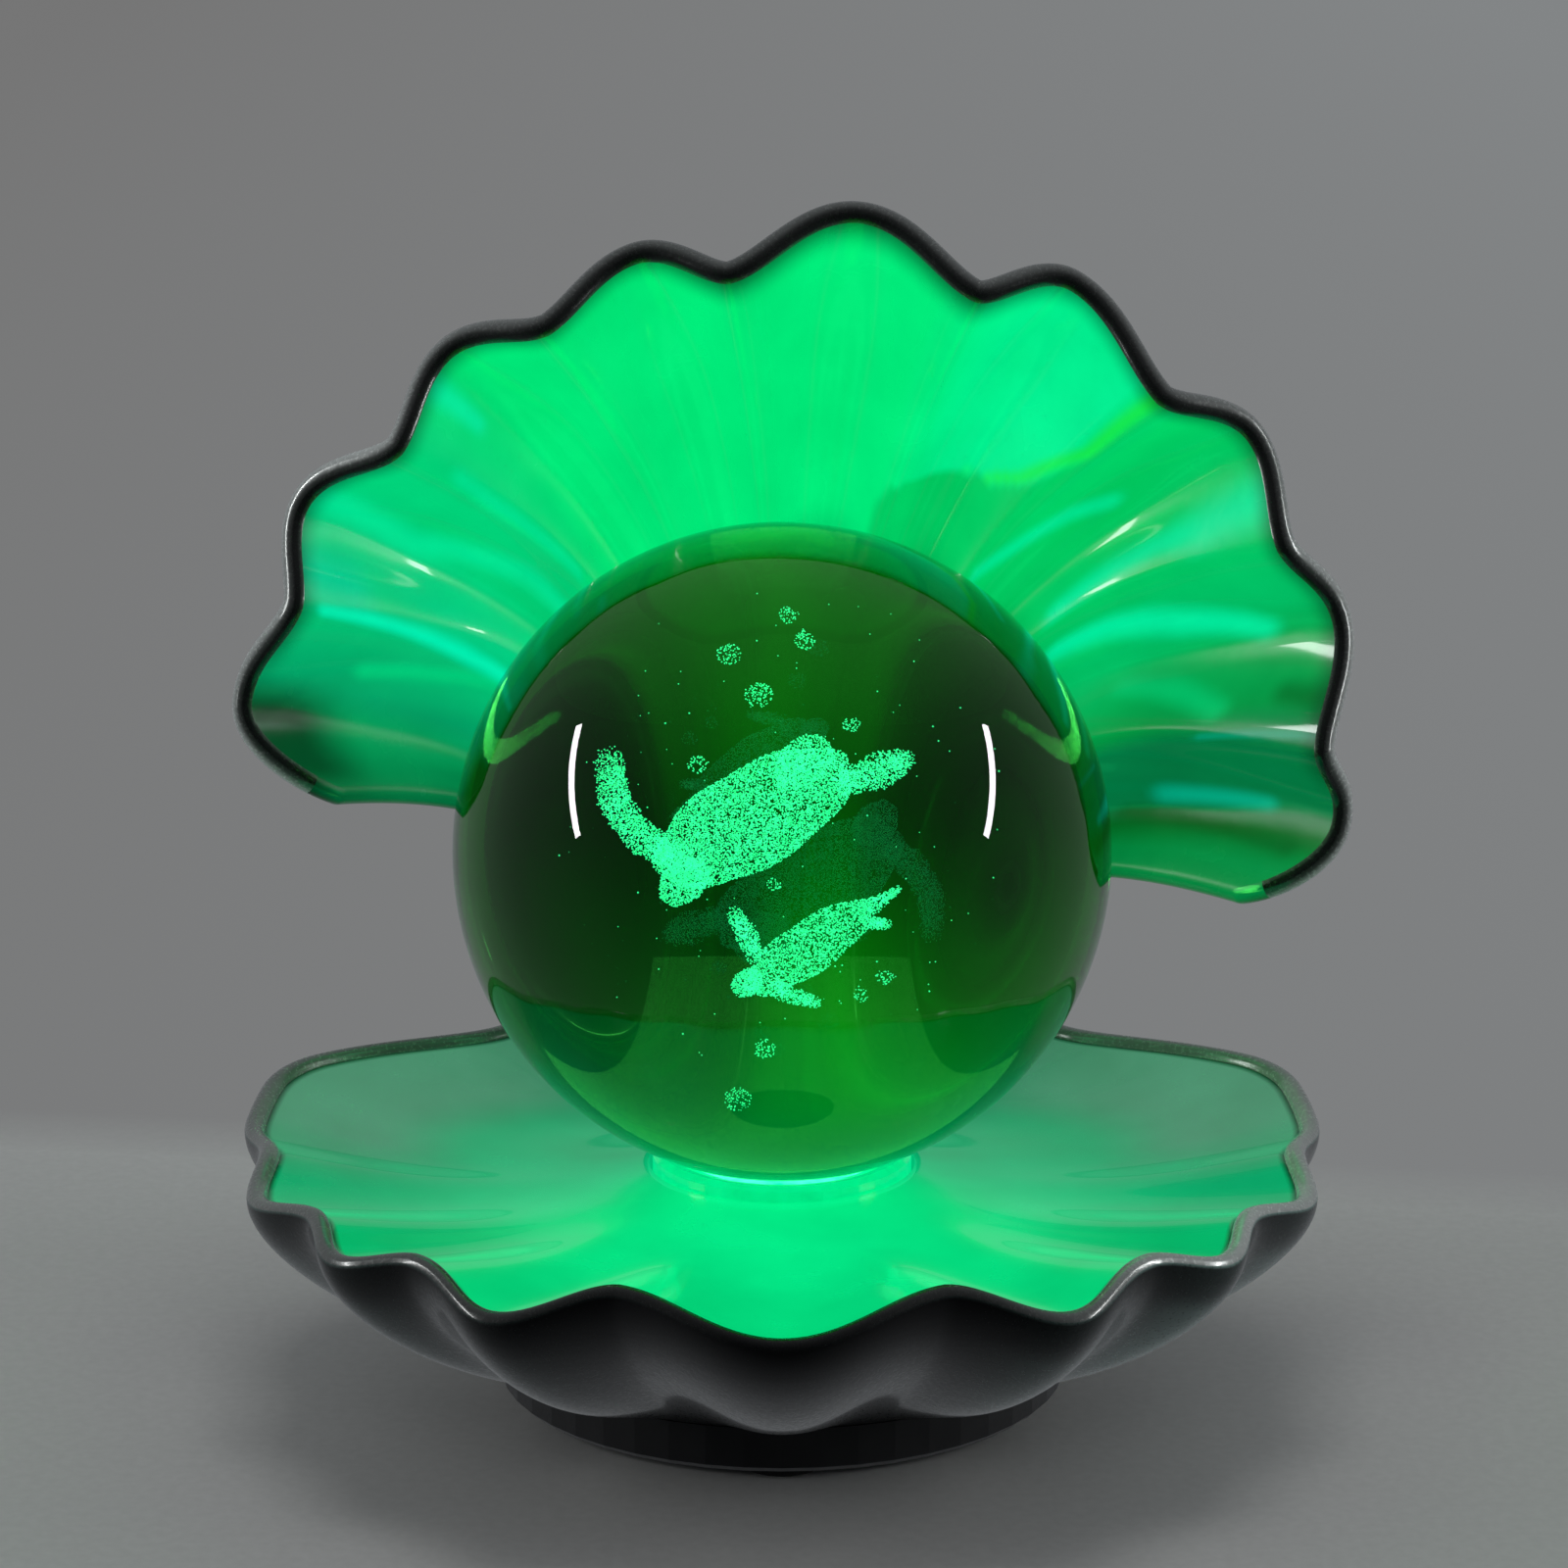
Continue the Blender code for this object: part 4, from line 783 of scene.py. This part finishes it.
def engraved_places(random):
    """Places of all dots, as (across, up) seen through the glass and a depth towards the viewer."""
    marks = [
        # a large turtle that swims down to the left
        scatter_oval(random, 10800, (-2.6, 3.1), 10.0, 4.6, 30.0, 2.2),
        scatter_oval(random, 1100, (1.9, 8.2), 3.0, 2.1, 40.0, 1.5),
        scatter_oval(random, 1250, (-8.9, -2.7), 2.6, 1.9, 42.0, 1.2),
        scatter_limb(random, 2600, [(-9.4, -0.6, 1.3), (-12.7, 1.2, 1.6), (-15.2, 4.4, 1.6),
                                    (-15.6, 8.4, 1.3)], 1.0),
        scatter_limb(random, 1300, [(5.6, 6.2, 1.1), (8.8, 7.3, 1.8), (11.2, 8.3, 1.0)], 1.0),
        # a small one below it
        scatter_oval(random, 3200, (2.4, -8.7), 6.9, 2.4, 34.0, 1.4),
        scatter_oval(random, 520, (-3.2, -11.9), 1.5, 1.2, 30.0, 0.8),
        scatter_limb(random, 600, [(-2.4, -9.6, 0.8), (-3.3, -7.4, 1.1), (-4.4, -5.6, 0.7)], 0.6),
        scatter_limb(random, 500, [(-1.0, -12.1, 0.9), (1.0, -13.1, 0.9), (3.2, -13.7, 0.5)], 0.6),
        scatter_limb(random, 420, [(7.0, -5.6, 0.9), (8.8, -4.6, 0.7), (10.6, -3.4, 0.3)], 0.6),
        scatter_limb(random, 240, [(7.6, -6.4, 0.7), (9.6, -6.6, 0.5)], 0.6),
    ]
    bubbles = [(0.6, 21.3, 0.9), (2.1, 19.1, 1.0), (-4.8, 17.8, 1.1), (-2.1, 14.2, 1.3), (6.3, 11.5, 0.8),
               (-7.7, 7.9, 0.9), (-0.7, -3.0, 0.7), (9.3, -11.4, 0.8), (7.1, -13.0, 0.7), (-1.6, -17.8, 1.0),
               (-4.0, -22.2, 1.2)]
    for x, y, size in bubbles:
        marks.append(scatter_oval(random, int(75 * size * size), (x, y), size, 0.85 * size, 0.0, 0.5))
    marks.append(scatter_oval(random, 120, (-1.0, 2.0), 21.0, 22.0, 0.0, 9.0))
    return np.concatenate([m[0] for m in marks]), np.concatenate([m[1] for m in marks])


def make_engraving():
    random = np.random.default_rng(12)
    apparent, depth = engraved_places(random)
    flat = under_glass(apparent)
    across, up, towards = VIEW_AXES
    centres = BALL_CENTRE + flat[:, :1] * across + flat[:, 1:] * up + depth[:, None] * towards
    sizes = 0.038 + 0.026 * random.random(len(centres))
    corners = np.array([(1, 0, 0), (-1, 0, 0), (0, 1, 0), (0, -1, 0), (0, 0, 1), (0, 0, -1)], float)
    faces = np.array([(0, 2, 4), (2, 1, 4), (1, 3, 4), (3, 0, 4), (2, 0, 5), (1, 2, 5), (3, 1, 5), (0, 3, 5)])
    points = (centres[:, None, :] + sizes[:, None, None] * corners).reshape(-1, 3)
    all_faces = (faces[None] + 6 * np.arange(len(centres))[:, None, None]).reshape(-1, 3)
    mesh = mesh_from("engraved_marks", points, all_faces.tolist(), [MATS["dots"]])
    marks = link("engraved_marks", mesh, "ball")
    marks.visible_shadow = False
    return marks


# ---------------------------------------------------------------- pieces kept from the CAD

NODE_LOOKS = {
    "clear": ["seat_ring"],
    "frosted": ["light_window"],
    "white": ["reflector_cup"],
    "lamp": ["colour_led"],
    "board": ["led_board"],
    "ceramic": ["board_resistor_1", "board_resistor_2", "board_resistor_3"],
    "black": ["base_plate", "battery_door", "battery_tray", "controller_chip", "switch_slider"],
    "rubber": ["non_slip_pad_front", "non_slip_pad_left", "non_slip_pad_right"],
    "steel": ["base_screw_back", "base_screw_left", "base_screw_right", "board_screw_left",
              "board_screw_right", "door_screw", "neck_dowel_left", "neck_dowel_right"],
    "nickel": ["button_cell_1", "button_cell_2", "button_cell_3", "contact_spring", "negative_contact",
               "positive_contact", "switch_body", "switch_pin_1", "switch_pin_2", "switch_pin_3"],
    "red": ["red_wire"],
    "dark_wire": ["black_wire"],
    "yellow": ["switch_wire"],
}


def dress_nodes():
    for look, names in NODE_LOOKS.items():
        for name in names:
            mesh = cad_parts[name].data
            mesh.materials.clear()
            mesh.materials.append(MATS[look])


# ---------------------------------------------------------------- stage, lights and camera

CAMERA_DISTANCE = 0.45      # metres from the ball's centre
SENSOR_WIDTH = 36.0
LENS = 113.4                # millimetres, as the sensor's width


def make_floor():
    """A pale table whose far part, behind the object, falls back into a plain grey backdrop."""
    material, tree, shader = new_material("pale_floor")
    place = tree.nodes.new("ShaderNodeTexCoord")
    axes = tree.nodes.new("ShaderNodeSeparateXYZ")
    tree.links.new(place.outputs["Object"], axes.inputs["Vector"])
    slant = tree.nodes.new("ShaderNodeMath")
    slant.operation = "MULTIPLY_ADD"
    slant.inputs[1].default_value = 0.13
    tree.links.new(axes.outputs["X"], slant.inputs[0])
    tree.links.new(axes.outputs["Y"], slant.inputs[2])
    far = to_range(tree, slant.outputs[0], 0.0, 1.0, 0.062, 0.076)
    speckle = object_noise(tree, 900.0, 2.0, 0.5)
    table = ramp(tree, speckle.outputs["Fac"], [(0.3, (0.56, 0.57, 0.56)), (0.7, (0.60, 0.61, 0.60))])
    tree.links.new(table, shader.inputs["Base Color"])
    set_inputs(shader, Roughness=0.55)
    backdrop = tree.nodes.new("ShaderNodeEmission")
    # Painted light on the backdrop: a little lighter to the right.
    sweep = to_range(tree, axes.outputs["X"], 0.0, 1.0, -0.25, 0.25)
    tone = ramp(tree, sweep, [(0.0, (0.180, 0.180, 0.180)), (1.0, (0.225, 0.235, 0.240))])
    tree.links.new(tone, backdrop.inputs["Color"])
    mix = tree.nodes.new("ShaderNodeMixShader")
    tree.links.new(far, mix.inputs["Fac"])
    tree.links.new(shader.outputs["BSDF"], mix.inputs[1])
    tree.links.new(backdrop.outputs["Emission"], mix.inputs[2])
    tree.links.new(mix.outputs["Shader"], tree.nodes["Material Output"].inputs["Surface"])
    mesh = bpy.data.meshes.new("floor")
    size = 5.0
    corners = [(-size, -size, 0), (size, -size, 0), (size, size, 0), (-size, size, 0)]
    mesh.from_pydata(corners, [], [(0, 1, 2, 3)])
    mesh.materials.append(material)
    floor = bpy.data.objects.new("floor", mesh)
    scene.collection.objects.link(floor)
    floor.visible_glossy = False


def aim(obj, target):
    direction = Vector(target) - obj.location
    obj.rotation_euler = direction.to_track_quat("-Z", "Y").to_euler()


def area_light(name, location, target, size, power, colour=(1.0, 1.0, 1.0)):
    light = bpy.data.lights.new(name, "AREA")
    light.shape = "RECTANGLE"
    light.size, light.size_y = size
    light.energy = power
    light.color = colour
    obj = bpy.data.objects.new(name, light)
    obj.location = location
    scene.collection.objects.link(obj)
    aim(obj, target)
    obj.visible_camera = False
    return obj


def make_lights():
    world = bpy.data.worlds.new("studio")
    world.use_nodes = True
    tree = world.node_tree
    place = tree.nodes.new("ShaderNodeTexCoord")
    axes = tree.nodes.new("ShaderNodeSeparateXYZ")
    tree.links.new(place.outputs["Generated"], axes.inputs["Vector"])
    back = to_range(tree, axes.outputs["Y"], 0.0, 1.0, -0.9, 0.7)
    tone = ramp(tree, back, [(0.0, (0.025, 0.027, 0.03)), (1.0, (0.21, 0.22, 0.23))])
    tree.links.new(tone, tree.nodes["Background"].inputs["Color"])
    scene.world = world
    centre = Vector((AXIS + BALL_CENTRE) * MM)
    for name, side in (("strip_left", -1), ("strip_right", 1)):
        low = centre + 0.6 * Vector((side * 0.951, -0.272, 0.143))
        high = centre + 0.6 * Vector((side * 0.847, 0.107, 0.52))
        strip = area_light(name, 0.5 * (low + high), centre, (0.025, (high - low).length), 0.6)
        towards = (centre - strip.location).normalized()
        along = (high - low).normalized()
        across = along.cross(-towards).normalized()
        along = (-towards).cross(across).normalized()
        strip.rotation_euler = Matrix((across, along, -towards)).transposed().to_euler()
    top = area_light("top_box", (0.0, 0.05, 0.8), centre, (0.35, 0.25), 0.9)
    top.visible_glossy = False
    fill = area_light("front_fill", (0.0, -0.7, 0.55), (0.0, 0.0, 0.02), (0.5, 0.2), 0.45)
    fill.visible_glossy = False

    lamp = bpy.data.lights.new("lamp_glow", "POINT")
    lamp.energy = 0.004
    lamp.color = (0.02, 1.0, 0.4)
    lamp.shadow_soft_size = 0.008
    obj = bpy.data.objects.new("lamp_glow", lamp)
    obj.location = centre + Vector((0.0, 0.0, 0.012))
    obj.visible_camera = False
    obj.visible_transmission = False
    obj.visible_glossy = False
    scene.collection.objects.link(obj)


def make_camera():
    data = bpy.data.cameras.new("camera")
    data.sensor_width = SENSOR_WIDTH
    data.lens = LENS
    data.shift_x = 0.00125
    data.shift_y = 0.0431
    camera = bpy.data.objects.new("camera", data)
    centre = Vector((AXIS + BALL_CENTRE) * MM)
    camera.location = centre + CAMERA_DISTANCE * Vector((0.0, -math.cos(VIEW_LEAN), math.sin(VIEW_LEAN)))
    camera.rotation_euler = (math.radians(90.0) - VIEW_LEAN, 0.0, 0.0)
    data.clip_start = 0.01
    scene.collection.objects.link(camera)
    scene.camera = camera


make_camera()
make_upper_shell()
make_lower_shell()
make_ball()
make_engraving()
dress_nodes()
make_floor()
make_lights()
